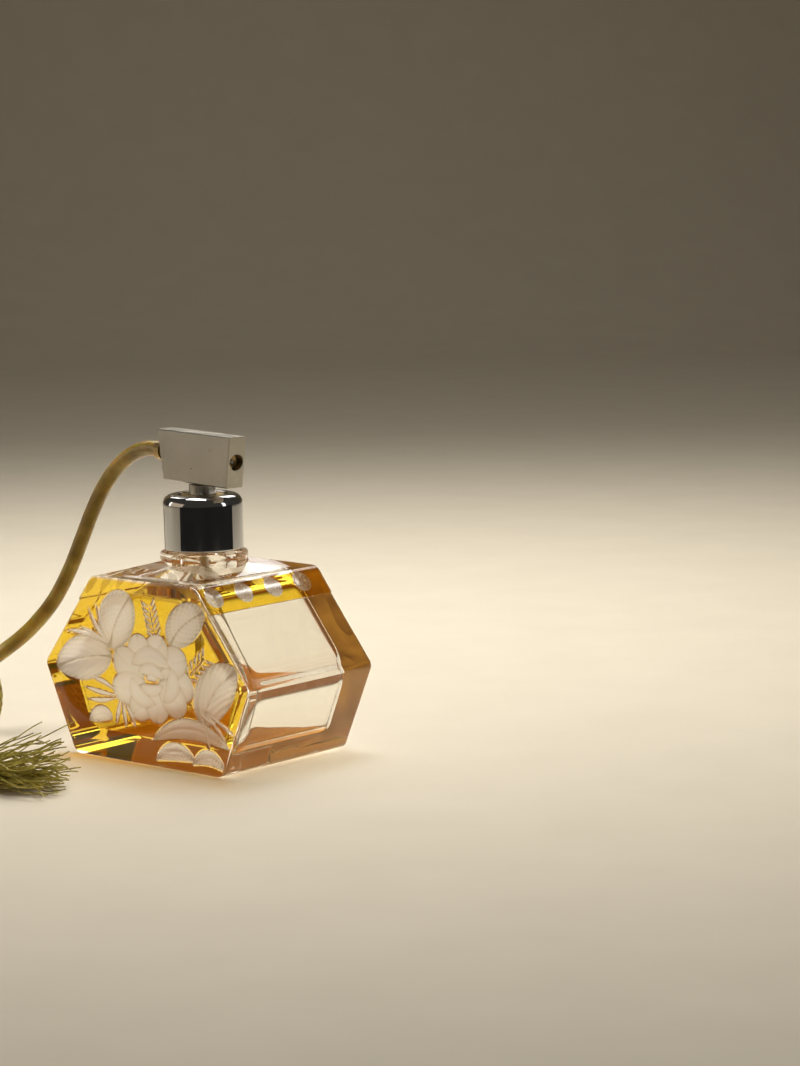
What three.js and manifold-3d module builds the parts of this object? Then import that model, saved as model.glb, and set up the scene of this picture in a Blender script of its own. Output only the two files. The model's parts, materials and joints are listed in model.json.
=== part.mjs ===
// Perfume atomiser: a cut-glass bottle with a screwed spray head, an air hose and a squeeze bulb.
// Millimetres, +Z up. The origin is the middle of the bottle's base. The engraved front face looks
// along -Y, and the bottle's wide way is X.

import * as THREE from 'three';
import { mergeVertices } from 'three/addons/utils/BufferGeometryUtils.js';
import Module from 'manifold-3d';

const wasm = await Module();
wasm.setup();

// ---------------------------------------------------------------- driving dimensions

// Glass body: a six-sided prism lying front to back, widest at mid height.
const BODY_DEPTH = 55;
const BODY_HEIGHT = 57.5;
const MID_HEIGHT = 28;
const HALF_TOP = 23;
const HALF_MID = 45.5;
const HALF_BASE = 33;
const CORNER_ROUND = 2.6;
const MID_ROUND = 1.6;
const ROOF_RISE = 6;
const BAND_SHARE = 0.27;
const BAND_STEP = 0.4;

// Hollow inside the glass.
const SIDE_WALL = 7;
const FACE_WALL = 6.5;
const BASE_WALL = 8;
const ROOF_WALL = 5;
const CAVITY_ROUND = 4;

// Glass collar and neck, stacked on the body.
const COLLAR_OVERHANG = 1.3;
const COLLAR_TOP = BODY_HEIGHT + 6.5;
const NECK_TOP = COLLAR_TOP + 12.4;
const NECK_WALL = 2.1;

// Metal closure.
const FIT_GAP = 0.3;
const CEMENT_WALL = 0.9;
const RING_WALL = 0.8;
const THREAD_RIDGE = 0.3;
const THREAD_TURNS = 3;
const CAP_RADIUS = 12.5;
const CAP_WALL = 0.7;
const CAP_SHOULDER = 3;
const CAP_ROOF = 1.1;
const CAP_DISH = 0.9;
const DISH_RIM = 1.7;
const DISH_SLOPE = 0.7;
const GASKET_THICK = 0.7;
const FLANGE_THICK = 0.8;
const LINING_THICK = 0.7;
const PLUG_LENGTH = 8.6;

// Stem and dip tube.
const STEM_RADIUS = 4.2;
const SPIGOT_RADIUS = 2.8;
const HEAD_SPIGOT_RADIUS = 1.9;
const HEAD_SPIGOT_LENGTH = 3.4;
const LIQUID_BORE = 0.9;
const CLIP_THICK = 0.8;
const CLIP_WALL = 1.6;
const TUBE_RADIUS = 1.5;
const TUBE_BORE = 0.9;
const TUBE_SOCKET = 5.5;
const TUBE_FOOT_GAP = 2.6;
const WASHER_THICK = 0.5;
const WASHER_PLAY = 0.4;

// Spray head: a flat wedge, longer on top than below, turned a little on the bottle.
const HEAD_TURN = -11.4;
const HEAD_CLEAR = 3.2;
const HEAD_HEIGHT = 16;
const HEAD_THICK = 6.4;
const HEAD_TOP_BACK = 20.2;
const HEAD_TOP_FRONT = 20.7;
const HEAD_BASE_BACK = 17.5;
const HEAD_BASE_FRONT = 18;
const HEAD_EDGE = 0.35;
const CHANNEL_RISE = 8.7;
const NOZZLE_RISE = 8;
const CHANNEL_RADIUS = 1.2;
const RECESS_RADIUS = 2.55;
const RECESS_DEPTH = 3.2;
const NOZZLE_LENGTH = 4.2;
const JET_RADIUS = 0.75;
const JET_PROUD = 0.9;

// Hose fittings and hose.
const HOSE_RADIUS = 2.45;
const HOSE_SIDES = 10;
const HOSE_STEPS = 26;
const NIPPLE_RADIUS = 1.7;
const NIPPLE_GRIP = 5;
const NIPPLE_FLANGE = 0.6;
const FERRULE_LENGTH = 3;
const FERRULE_WALL = 0.4;

// Squeeze bulb with its net, valve and tassel.
const BULB_RADIUS = 20;
const BULB_LENGTH = 44;
const BULB_WALL = 1.6;
const BULB_NECK_RADIUS = 3.6;
const BULB_NECK_LENGTH = 6;
const BULB_TURN = -52;
const NET_THICK = 0.7;
const BULB_HEIGHT = BULB_RADIUS + NET_THICK + 0.5;
const CONNECTOR_RADIUS = 1.7;
const BINDING_WALL = 0.9;
const VALVE_RADIUS = 3.2;
const VALVE_LENGTH = 7;
const VALVE_FLANGE = 5.2;
const BALL_RADIUS = 1.5;
const BALL_TRAVEL = 0.8;
const EYE_RADIUS = 1.9;
const EYE_WIRE = 0.6;
const TASSEL_CORD_RADIUS = 0.9;
const TASSEL_HEAD_RADIUS = 4;
const TASSEL_HEAD_LENGTH = 8;
const FRINGE_LENGTH = 41;
const FRINGE_HALF_WIDTH = 8;
const FRINGE_HEIGHT = 8;
const FLOOR_GAP = 0.3;

// Route of the hose's centre line, from the head's back end down to the bulb's neck.
const HOSE_POINTS = [
  [-19.8, 4.0, 93.7],
  [-27.8, 5.3, 93.9],
  [-35.8, 5.9, 92.1],
  [-43.6, 6.1, 87.6],
  [-50.4, 5.9, 80.9],
  [-56.2, 5.5, 72.3],
  [-61.1, 4.6, 62.4],
  [-65.6, 2.6, 51.6],
  [-70.1, -1.0, 41.4],
  [-74.9, -7.6, 32.3],
  [-78.4, -16.8, 25.8],
  [-78.7, -26.8, 22.2],
  [-75.6, -36.2, 21.3],
  [-70.4, -44.5, BULB_HEIGHT],
];

// Centre line of the tassel's hanging cord, from the eye on the valve to the tassel's head.
const TASSEL_CORD_POINTS = [
  [-33.0, -92.6, 18.3],
  [-32.9, -95.4, 14.0],
  [-34.4, -97.3, 9.4],
  [-36.4, -96.6, 6.2],
  [-36.3, -93.6, 4.8],
  [-35.0, -91.0, 4.6],
];
const FRINGE_TURN = 36;

// The closure fits inward from the cap: cap wall, thread ridges, ring, cement, glass neck, bore.
const RING_OUTER = CAP_RADIUS - CAP_WALL - FIT_GAP - THREAD_RIDGE;
const RING_INNER = RING_OUTER - RING_WALL;
const NECK_RADIUS = RING_INNER - CEMENT_WALL - 2 * FIT_GAP;
const NECK_BORE = NECK_RADIUS - NECK_WALL;
const COLLAR_RADIUS = CAP_RADIUS + COLLAR_OVERHANG;

// ---------------------------------------------------------------- solids

// One closed surface: shared corners merged, empty triangles dropped, faces turned outwards.
function closed(geometry) {
  const bare = geometry.index ? geometry.toNonIndexed() : geometry;
  const points = new THREE.BufferGeometry();
  points.setAttribute('position', bare.getAttribute('position').clone());
  const merged = mergeVertices(points, 1e-4);
  const place = merged.getAttribute('position');
  const kept = [];
  const corner = [new THREE.Vector3(), new THREE.Vector3(), new THREE.Vector3()];
  let volume = 0;
  for (let i = 0; i < merged.index.count; i += 3) {
    const ids = [0, 1, 2].map((k) => merged.index.getX(i + k));
    if (new Set(ids).size < 3) continue;
    ids.forEach((id, k) => corner[k].fromBufferAttribute(place, id));
    volume += corner[0].dot(corner[1].clone().cross(corner[2]));
    kept.push(ids);
  }
  if (volume < 0) kept.forEach((ids) => ids.reverse());
  merged.setIndex(kept.flat());
  return merged;
}

function toManifold(geometry) {
  const shape = closed(geometry);
  const vertProperties = Float32Array.from(shape.getAttribute('position').array);
  const triVerts = Uint32Array.from(shape.index.array);
  return new wasm.Manifold(new wasm.Mesh({ numProp: 3, vertProperties, triVerts }));
}

function fromManifold(solid) {
  const mesh = solid.getMesh();
  const geometry = new THREE.BufferGeometry();
  geometry.setAttribute('position', new THREE.BufferAttribute(Float32Array.from(mesh.vertProperties), 3));
  geometry.setIndex(Array.from(mesh.triVerts));
  return geometry;
}

// First shape, with the next ones joined on and the last ones cut away.
function sculpt(base, joined, cuts) {
  let solid = toManifold(base);
  joined.forEach((shape) => { solid = solid.add(toManifold(shape)); });
  cuts.forEach((shape) => { solid = solid.subtract(toManifold(shape)); });
  return fromManifold(solid);
}

// Body of revolution about Z from [radius, height] pairs.
function turned(profile, sides = 32) {
  const points = profile.map(([r, z]) => new THREE.Vector2(r, z));
  return closed(new THREE.LatheGeometry(points, sides).rotateX(Math.PI / 2));
}

// Ring of rectangular section about Z.
function ring(inner, outer, low, high, sides = 32) {
  return turned([[inner, low], [outer, low], [outer, high], [inner, high], [inner, low]], sides);
}

function disc(radius, low, high, sides = 32) {
  return turned([[0, low], [radius, low], [radius, high], [0, high]], sides);
}

// Points of a quarter circle of the given radius, between two angles in degrees.
function arc(centreR, centreZ, radius, from, to, steps) {
  return Array.from({ length: steps + 1 }, (_, i) => {
    const angle = THREE.MathUtils.degToRad(from + ((to - from) * i) / steps);
    return [centreR + radius * Math.cos(angle), centreZ + radius * Math.sin(angle)];
  });
}

function tubeAlong(points, radius, sides, steps) {
  const curve = new THREE.CatmullRomCurve3(points.map((p) => new THREE.Vector3(...p)), false, 'centripetal');
  const section = new THREE.Shape(
    Array.from({ length: sides }, (_, i) => {
      const angle = (2 * Math.PI * i) / sides;
      return new THREE.Vector2(radius * Math.cos(angle), radius * Math.sin(angle));
    }),
  );
  return closed(new THREE.ExtrudeGeometry(section, { steps, extrudePath: curve, bevelEnabled: false }));
}

// Closed outline whose corners [x, y, round] are eased by a curve that starts round mm from each.
function easedOutline(corners) {
  const shape = new THREE.Shape();
  const count = corners.length;
  corners.forEach(([x, y, round], i) => {
    const here = new THREE.Vector2(x, y);
    const before = new THREE.Vector2(...corners[(i + count - 1) % count]);
    const after = new THREE.Vector2(...corners[(i + 1) % count]);
    const start = before.sub(here).setLength(round).add(here);
    const end = after.sub(here).setLength(round).add(here);
    if (i === 0) shape.moveTo(start.x, start.y);
    else shape.lineTo(start.x, start.y);
    if (round > 0) shape.quadraticCurveTo(here.x, here.y, end.x, end.y);
  });
  shape.closePath();
  return shape;
}

// Prism front to back along Y from an outline in X and Z.
function prism(corners, depth, curveSegments = 4) {
  const options = { depth, bevelEnabled: false, curveSegments };
  const block = new THREE.ExtrudeGeometry(easedOutline(corners), options);
  return closed(block.rotateX(Math.PI / 2).translate(0, depth / 2, 0));
}

const model = new THREE.Group();

function addPart(parent, name, geometry, color, roughness, metalness) {
  const material = new THREE.MeshStandardMaterial({ color, roughness, metalness });
  const mesh = new THREE.Mesh(geometry, material);
  mesh.name = name;
  parent.add(mesh);
  return mesh;
}

const GLASS = ['#e9b62e', 0.05, 0];
const NICKEL = ['#a79f8e', 0.25, 1];
const CHROME = ['#d5d5d5', 0.06, 1];
const BRASS = ['#b59a4c', 0.35, 1];
const RUBBER = ['#3a332b', 0.7, 0];
const HOSE_RUBBER = ['#7a5a1e', 0.35, 0];
const SILK = ['#7d7226', 0.8, 0];
const CORK = ['#b08a5c', 0.9, 0];
const PLASTER = ['#cfc7b4', 0.95, 0];

// ---------------------------------------------------------------- glass bottle

// Half outline of the body, right side, from the base up to the top edge.
function bodySide() {
  const mid = new THREE.Vector2(HALF_MID, MID_HEIGHT);
  const top = new THREE.Vector2(HALF_TOP, BODY_HEIGHT);
  const slope = mid.clone().sub(top);
  const band = top.clone().addScaledVector(slope, BAND_SHARE);
  const inward = new THREE.Vector2(-slope.y, slope.x).setLength(-BAND_STEP);
  const foot = band.clone().add(inward);
  return [
    [HALF_BASE, 0, CORNER_ROUND],
    [mid.x, mid.y, MID_ROUND],
    [foot.x, foot.y, 0],
    [band.x, band.y, 0],
    [top.x, top.y, CORNER_ROUND],
  ];
}

// A half outline completed by its mirror image.
function mirrored(side) {
  const other = side.map(([x, y, round]) => [-x, y, round]).reverse();
  return [...side, ...other];
}

// The hollow's outline stays one wall inside the body's.
function hollowSide() {
  const share = (MID_HEIGHT - BASE_WALL) / MID_HEIGHT;
  const low = HALF_MID - (HALF_MID - HALF_BASE) * share - SIDE_WALL;
  const roof = BODY_HEIGHT - ROOF_WALL;
  const high = HALF_TOP + ((HALF_MID - HALF_TOP) * ROOF_WALL) / (BODY_HEIGHT - MID_HEIGHT) - SIDE_WALL * 1.2;
  return [
    [low, BASE_WALL, CAVITY_ROUND],
    [HALF_MID - SIDE_WALL * 1.15, MID_HEIGHT, CAVITY_ROUND],
    [high, roof, CAVITY_ROUND],
  ];
}

// Four shallow facets that rise from the top edges towards the neck.
function roof() {
  const low = BODY_HEIGHT - 1;
  const halfTop = HALF_TOP - CORNER_ROUND * 0.25;
  const halfDepth = BODY_DEPTH / 2;
  const corners = [[-1, -1], [1, -1], [1, 1], [-1, 1]];
  const points = [];
  corners.forEach(([sx, sy]) => points.push([sx * halfTop, sy * halfDepth, low]));
  corners.forEach(([sx, sy]) => points.push([sx * halfTop, sy * halfDepth, BODY_HEIGHT]));
  points.push([0, 0, BODY_HEIGHT + ROOF_RISE]);
  const faces = [[0, 2, 1], [0, 3, 2]];
  for (let i = 0; i < 4; i += 1) {
    const next = (i + 1) % 4;
    faces.push([i, next, next + 4], [i, next + 4, i + 4], [i + 4, next + 4, 8]);
  }
  const geometry = new THREE.BufferGeometry();
  geometry.setAttribute('position', new THREE.Float32BufferAttribute(points.flat(), 3));
  geometry.setIndex(faces.flat());
  return closed(geometry);
}

function collarAndNeck() {
  const edge = 0.5;
  return turned([
    [0, BODY_HEIGHT - 2],
    [COLLAR_RADIUS, BODY_HEIGHT - 2],
    [COLLAR_RADIUS, COLLAR_TOP - edge],
    ...arc(COLLAR_RADIUS - edge, COLLAR_TOP - edge, edge, 30, 90, 2),
    [NECK_RADIUS, COLLAR_TOP],
    [NECK_RADIUS, NECK_TOP],
    [0, NECK_TOP],
  ], 48);
}

function bottle() {
  const neckBore = disc(NECK_BORE, BODY_HEIGHT - ROOF_WALL - 2, NECK_TOP + 1, 32);
  const hollow = prism(mirrored(hollowSide()), BODY_DEPTH - 2 * FACE_WALL);
  const body = prism(mirrored(bodySide()), BODY_DEPTH);
  return sculpt(body, [roof(), collarAndNeck()], [hollow, neckBore]);
}

addPart(model, 'glass_bottle', bottle(), ...GLASS);

// ---------------------------------------------------------------- threaded neck ring

const ringBottom = COLLAR_TOP + FIT_GAP;
const ringTop = NECK_TOP - FIT_GAP;

function neckRing() {
  const profile = [[RING_INNER, ringBottom], [RING_OUTER, ringBottom]];
  const pitch = (ringTop - ringBottom) / (THREAD_TURNS + 1);
  for (let turn = 1; turn <= THREAD_TURNS; turn += 1) {
    const z = ringBottom + turn * pitch;
    profile.push([RING_OUTER, z - 0.7], [RING_OUTER + THREAD_RIDGE, z], [RING_OUTER, z + 0.7]);
  }
  profile.push([RING_OUTER, ringTop], [RING_INNER, ringTop], [RING_INNER, ringBottom]);
  return turned(profile, 32);
}

const cement = ring(NECK_RADIUS + FIT_GAP, RING_INNER - FIT_GAP, ringBottom, ringTop - 0.6, 24);
addPart(model, 'neck_cement', cement, ...PLASTER);
addPart(model, 'neck_ring', neckRing(), ...BRASS);

// ---------------------------------------------------------------- plug, gasket and cap

const gasketLow = NECK_TOP + FIT_GAP;
const flangeLow = gasketLow + GASKET_THICK + FIT_GAP;
const flangeHigh = flangeLow + FLANGE_THICK;
const plugBore = SPIGOT_RADIUS + 0.2;
const plugBoss = NECK_BORE - FIT_GAP;
const plugBottom = flangeLow - PLUG_LENGTH;

function plugBush() {
  const flange = NECK_RADIUS + CEMENT_WALL;
  return turned([
    [plugBore, plugBottom],
    [plugBoss - 0.6, plugBottom],
    [plugBoss, plugBottom + 0.8],
    [plugBoss, flangeLow],
    [flange, flangeLow],
    [flange, flangeHigh],
    [plugBore, flangeHigh],
    [plugBore, plugBottom],
  ], 32);
}

const neckGasket = ring(plugBoss + FIT_GAP, NECK_RADIUS, gasketLow, gasketLow + GASKET_THICK, 24);
addPart(model, 'neck_gasket', neckGasket, ...CORK);
addPart(model, 'plug_bush', plugBush(), ...BRASS);

const capBottom = COLLAR_TOP + 2 * FIT_GAP;
const liningLow = flangeHigh + FIT_GAP;
const capInside = liningLow + LINING_THICK + FIT_GAP;
const dishFloor = capInside + CAP_ROOF;
const capTop = dishFloor + CAP_DISH;
const dishOuter = CAP_RADIUS - CAP_SHOULDER - DISH_RIM;
const dishInner = dishOuter - DISH_SLOPE;
const capHole = STEM_RADIUS + 0.4;

// Drawn cup with a rounded shoulder, a shallow dish on top and a rolled lower edge.
function screwCap() {
  const inner = CAP_RADIUS - CAP_WALL;
  return turned([
    [inner, capBottom],
    [CAP_RADIUS - 0.2, capBottom],
    [CAP_RADIUS, capBottom + 0.3],
    ...arc(CAP_RADIUS - CAP_SHOULDER, capTop - CAP_SHOULDER, CAP_SHOULDER, 0, 90, 5),
    [dishOuter, capTop],
    [dishInner, dishFloor],
    [capHole, dishFloor],
    [capHole, capInside],
    [inner, capInside],
    [inner, capBottom],
  ], 40);
}

addPart(model, 'screw_cap', screwCap(), ...CHROME);
const liningOuter = CAP_RADIUS - CAP_WALL - FIT_GAP;
addPart(model, 'cap_lining', ring(capHole, liningOuter, liningLow, liningLow + LINING_THICK, 24), ...CORK);

const washerLow = dishFloor + FIT_GAP;
const washerHigh = washerLow + WASHER_THICK;
const washerInner = STEM_RADIUS + FIT_GAP;
const washerOuter = dishInner - WASHER_PLAY;
addPart(model, 'slip_washer', ring(washerInner, washerOuter, washerLow, washerHigh, 24), ...BRASS);

// ---------------------------------------------------------------- stem and dip tube

const headBottom = capTop + HEAD_CLEAR;
const stemTop = headBottom - FIT_GAP;
const stemLow = flangeHigh + FIT_GAP;
const clipHigh = plugBottom - FIT_GAP;
const clipLow = clipHigh - CLIP_THICK;
const spigotLow = clipLow - 1;
const tubeSocket = TUBE_RADIUS + 0.2;
const spigotHead = headBottom + HEAD_SPIGOT_LENGTH;

// The cap and its washer can climb the stem from the flange up to the head.
function stem() {
  return turned([
    [tubeSocket, spigotLow],
    [SPIGOT_RADIUS, spigotLow],
    [SPIGOT_RADIUS, stemLow],
    [STEM_RADIUS, stemLow],
    [STEM_RADIUS, stemTop],
    [HEAD_SPIGOT_RADIUS, stemTop],
    [HEAD_SPIGOT_RADIUS, spigotHead],
    [LIQUID_BORE, spigotHead],
    [LIQUID_BORE, spigotLow + TUBE_SOCKET],
    [tubeSocket, spigotLow + TUBE_SOCKET],
    [tubeSocket, spigotLow],
  ], 24);
}

addPart(model, 'stem', stem(), ...NICKEL);
const clipInner = SPIGOT_RADIUS + 0.2;
addPart(model, 'stem_clip', ring(clipInner, clipInner + CLIP_WALL, clipLow, clipHigh, 20), ...BRASS);
const tubeTop = spigotLow + TUBE_SOCKET - FIT_GAP;
addPart(model, 'dip_tube', ring(TUBE_BORE, TUBE_RADIUS, BASE_WALL + TUBE_FOOT_GAP, tubeTop, 16), ...NICKEL);

// ---------------------------------------------------------------- spray head

const head = new THREE.Group();
head.rotation.z = THREE.MathUtils.degToRad(HEAD_TURN);
model.add(head);
const headTop = headBottom + HEAD_HEIGHT;
const channelHeight = headBottom + CHANNEL_RISE;
const nozzleHeight = headBottom + NOZZLE_RISE;

// Lengthways place of a slanted end face at height z.
function headEnd(z, base, top) {
  return base + ((top - base) * (z - headBottom)) / HEAD_HEIGHT;
}
const headBack = headEnd(channelHeight, HEAD_BASE_BACK, HEAD_TOP_BACK);
const headFront = headEnd(nozzleHeight, HEAD_BASE_FRONT, HEAD_TOP_FRONT);
const recessBack = headFront - RECESS_DEPTH - NOZZLE_LENGTH - 1.2;

// A solid of revolution about a line along the head, at height z.
function alongHead(profile, z, sides = 24) {
  return turned(profile, sides).rotateY(Math.PI / 2).translate(0, 0, z);
}

function headBlock() {
  const outline = new THREE.Shape();
  outline.moveTo(-HEAD_BASE_BACK + HEAD_EDGE, headBottom + HEAD_EDGE);
  outline.lineTo(HEAD_BASE_FRONT - HEAD_EDGE, headBottom + HEAD_EDGE);
  outline.lineTo(HEAD_TOP_FRONT - HEAD_EDGE, headTop - HEAD_EDGE);
  outline.lineTo(-HEAD_TOP_BACK + HEAD_EDGE, headTop - HEAD_EDGE);
  outline.closePath();
  const bevel = { bevelSize: HEAD_EDGE, bevelThickness: HEAD_EDGE, bevelSegments: 1 };
  const depth = HEAD_THICK - 2 * HEAD_EDGE;
  const block = new THREE.ExtrudeGeometry(outline, { depth, ...bevel });
  block.rotateX(Math.PI / 2).translate(0, depth / 2, 0);
  const seat = disc(HEAD_SPIGOT_RADIUS + FIT_GAP, headBottom - 1, spigotHead + FIT_GAP, 20);
  const riser = disc(LIQUID_BORE, headBottom, channelHeight, 12);
  const nippleSeat = NIPPLE_RADIUS + 0.2;
  const channel = alongHead([
    [0, -HEAD_TOP_BACK - 1],
    [nippleSeat, -HEAD_TOP_BACK - 1],
    [nippleSeat, -headBack + NIPPLE_GRIP + FIT_GAP],
    [CHANNEL_RADIUS, -headBack + NIPPLE_GRIP + FIT_GAP],
    [CHANNEL_RADIUS, recessBack + 0.5],
    [0, recessBack + 0.5],
  ], channelHeight);
  const recess = alongHead([
    [0, recessBack],
    [RECESS_RADIUS, recessBack],
    [RECESS_RADIUS, HEAD_TOP_FRONT + 1],
    [0, HEAD_TOP_FRONT + 1],
  ], nozzleHeight);
  return sculpt(block, [], [seat, riser, channel, recess]);
}

addPart(head, 'head_block', headBlock(), ...NICKEL);

const nozzleFace = headFront - RECESS_DEPTH;
const nozzleBack = nozzleFace - NOZZLE_LENGTH;
const nozzleRadius = RECESS_RADIUS - 0.2;
const jetBore = JET_RADIUS + 0.2;

const nozzleBody = alongHead([
  [jetBore, nozzleBack],
  [nozzleRadius, nozzleBack],
  [nozzleRadius, nozzleFace],
  [jetBore, nozzleFace - 0.5],
  [jetBore, nozzleBack],
], nozzleHeight, 20);
addPart(head, 'nozzle_body', nozzleBody, ...BRASS);

const nozzleJet = alongHead([
  [0.3, nozzleBack + FIT_GAP],
  [JET_RADIUS, nozzleBack + FIT_GAP],
  [JET_RADIUS, nozzleFace + JET_PROUD - 0.4],
  [0.45, nozzleFace + JET_PROUD],
  [0.3, nozzleFace + JET_PROUD],
  [0.3, nozzleBack + FIT_GAP],
], nozzleHeight, 12);
addPart(head, 'nozzle_jet', nozzleJet, ...NICKEL);

const gasketBack = nozzleBack - FIT_GAP - 0.6;
const nozzleGasket = alongHead([
  [CHANNEL_RADIUS, gasketBack],
  [nozzleRadius, gasketBack],
  [nozzleRadius, nozzleBack - FIT_GAP],
  [CHANNEL_RADIUS, nozzleBack - FIT_GAP],
  [CHANNEL_RADIUS, gasketBack],
], nozzleHeight, 16);
addPart(head, 'nozzle_gasket', nozzleGasket, ...RUBBER);

const hoseStart = Math.hypot(HOSE_POINTS[0][0], HOSE_POINTS[0][1]);
const nippleEnd = hoseStart - FIT_GAP;
const hoseNipple = alongHead([
  [0.8, -nippleEnd],
  [HOSE_RADIUS - 0.3, -nippleEnd],
  [HOSE_RADIUS - 0.3, -nippleEnd + NIPPLE_FLANGE - FIT_GAP],
  [NIPPLE_RADIUS, -nippleEnd + NIPPLE_FLANGE - FIT_GAP],
  [NIPPLE_RADIUS, -headBack + NIPPLE_GRIP],
  [0.8, -headBack + NIPPLE_GRIP],
  [0.8, -nippleEnd],
], channelHeight, 16);
addPart(head, 'hose_nipple', hoseNipple, ...BRASS);

const ferruleInner = HOSE_RADIUS + FIT_GAP;
const ferruleEnd = -hoseStart - FERRULE_LENGTH;
const hoseFerrule = alongHead([
  [ferruleInner, ferruleEnd],
  [ferruleInner + FERRULE_WALL, ferruleEnd],
  [ferruleInner + FERRULE_WALL, -hoseStart],
  [ferruleInner, -hoseStart],
  [ferruleInner, ferruleEnd],
], channelHeight, 20);
addPart(head, 'hose_ferrule', hoseFerrule, ...BRASS);

// ---------------------------------------------------------------- hose

addPart(model, 'hose', tubeAlong(HOSE_POINTS, HOSE_RADIUS, HOSE_SIDES, HOSE_STEPS), ...HOSE_RUBBER);

// ---------------------------------------------------------------- squeeze bulb

// The bulb lies on its side. In this group Z runs from the hose's end towards the tassel.
const bulb = new THREE.Group();
const [bulbX, bulbY] = HOSE_POINTS[HOSE_POINTS.length - 1];
bulb.position.set(bulbX, bulbY, BULB_HEIGHT);
bulb.rotation.z = THREE.MathUtils.degToRad(BULB_TURN);
model.add(bulb);

function alongBulb(profile, sides) {
  return turned(profile, sides).rotateY(Math.PI / 2);
}

const connectorStart = FIT_GAP;
const bulbStart = connectorStart + 3;
const bellyStart = bulbStart + BULB_NECK_LENGTH;
const bellyEnd = bellyStart + BULB_LENGTH;
const bulbEnd = bellyEnd + 1.5;
const neckHole = CONNECTOR_RADIUS + 0.3;
const tailHole = VALVE_RADIUS + 0.3;

// Skin of the bulb at a distance from its outer face: a smooth oval that ends at two small radii.
function belly(offset, nearRadius, farRadius, steps) {
  const half = BULB_LENGTH / 2;
  const middle = bellyStart + half;
  return Array.from({ length: steps + 1 }, (_, i) => {
    const along = -half + (BULB_LENGTH * i) / steps;
    const share = along / half;
    const end = share < 0 ? nearRadius : farRadius;
    const round = Math.sqrt(Math.max(0, 1 - Math.abs(share) ** 2.4));
    return [end + (BULB_RADIUS + offset - end) * round, middle + along * (1 + offset / half)];
  });
}

function rubberBulb() {
  const outer = belly(0, BULB_NECK_RADIUS, VALVE_RADIUS + BULB_WALL, 18);
  const inner = belly(-BULB_WALL, neckHole, tailHole, 18).reverse();
  return alongBulb([
    [neckHole, bulbStart],
    [BULB_NECK_RADIUS, bulbStart],
    ...outer,
    [VALVE_RADIUS + BULB_WALL, bulbEnd],
    [tailHole, bulbEnd],
    ...inner,
    [neckHole, bulbStart],
  ], 24);
}

function netCover() {
  const near = BULB_NECK_RADIUS + 0.4;
  const far = VALVE_RADIUS + BULB_WALL + 0.4;
  const inner = belly(FIT_GAP, near, far, 18);
  const outer = belly(FIT_GAP + NET_THICK, near + NET_THICK, far + NET_THICK, 18).reverse();
  return alongBulb([...inner, ...outer, inner[0]], 24);
}

addPart(bulb, 'rubber_bulb', rubberBulb(), ...RUBBER);
addPart(bulb, 'net_cover', netCover(), ...SILK);

const connector = alongBulb([
  [0.8, connectorStart],
  [CONNECTOR_RADIUS + 0.5, connectorStart],
  [CONNECTOR_RADIUS + 0.5, bulbStart - FIT_GAP],
  [CONNECTOR_RADIUS, bulbStart - FIT_GAP],
  [CONNECTOR_RADIUS, bellyStart + 1],
  [0.8, bellyStart + 1],
  [0.8, connectorStart],
], 16);
addPart(bulb, 'bulb_connector', connector, ...BRASS);

const bindingInner = BULB_NECK_RADIUS + 0.25;
const neckBinding = alongBulb([
  [bindingInner, bulbStart + 0.4],
  [bindingInner + BINDING_WALL, bulbStart + 0.8],
  [bindingInner + BINDING_WALL, bellyStart - 1.6],
  [bindingInner, bellyStart - 1.2],
  [bindingInner, bulbStart + 0.4],
], 20);
addPart(bulb, 'neck_binding', neckBinding, ...SILK);

// Tail valve: a housing with a ball chamber, closed by an end cap that carries the tassel's eye.
const valveStart = bulbEnd - VALVE_LENGTH;
const chamber = BALL_RADIUS + 0.4;
const ballCentre = valveStart + 1.4 + BALL_RADIUS;
const chamberEnd = ballCentre + BALL_RADIUS + BALL_TRAVEL + 0.3;

const valveHousing = alongBulb([
  [1, valveStart],
  [VALVE_RADIUS, valveStart],
  [VALVE_RADIUS, bulbEnd + FIT_GAP],
  [VALVE_FLANGE, bulbEnd + FIT_GAP],
  [VALVE_FLANGE, bulbEnd + FIT_GAP + 1],
  [chamber, bulbEnd + FIT_GAP + 1],
  [chamber, valveStart + 1],
  [1, valveStart + 1],
  [1, valveStart],
], 20);
addPart(bulb, 'valve_housing', valveHousing, ...BRASS);

const ball = new THREE.SphereGeometry(BALL_RADIUS, 12, 8);
addPart(bulb, 'valve_ball', closed(ball.translate(ballCentre, 0, 0)), ...NICKEL);

const capStart = bulbEnd + 1.2 + 2 * FIT_GAP;
const valveCap = sculpt(
  alongBulb([
    [0.5, chamberEnd],
    [chamber - 0.3, chamberEnd],
    [chamber - 0.3, capStart],
    [VALVE_FLANGE - 0.4, capStart],
    [VALVE_FLANGE - 0.8, capStart + 1],
    [2, capStart + 1.6],
    [0.5, capStart + 1.6],
    [0.5, chamberEnd],
  ], 20),
  [new THREE.TorusGeometry(EYE_RADIUS, EYE_WIRE, 8, 18)
    .rotateX(Math.PI / 2).translate(capStart + 1.4 + EYE_RADIUS, 0, 0)],
  [],
);
addPart(bulb, 'valve_cap', valveCap, ...BRASS);

// ---------------------------------------------------------------- tassel

addPart(model, 'tassel_cord', tubeAlong(TASSEL_CORD_POINTS, TASSEL_CORD_RADIUS, 8, 8), ...SILK);

const tassel = new THREE.Group();
const [cordEndX, cordEndY, cordEndZ] = TASSEL_CORD_POINTS[TASSEL_CORD_POINTS.length - 1];
tassel.position.set(cordEndX, cordEndY, cordEndZ);
tassel.rotation.z = THREE.MathUtils.degToRad(FRINGE_TURN);
model.add(tassel);

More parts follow.
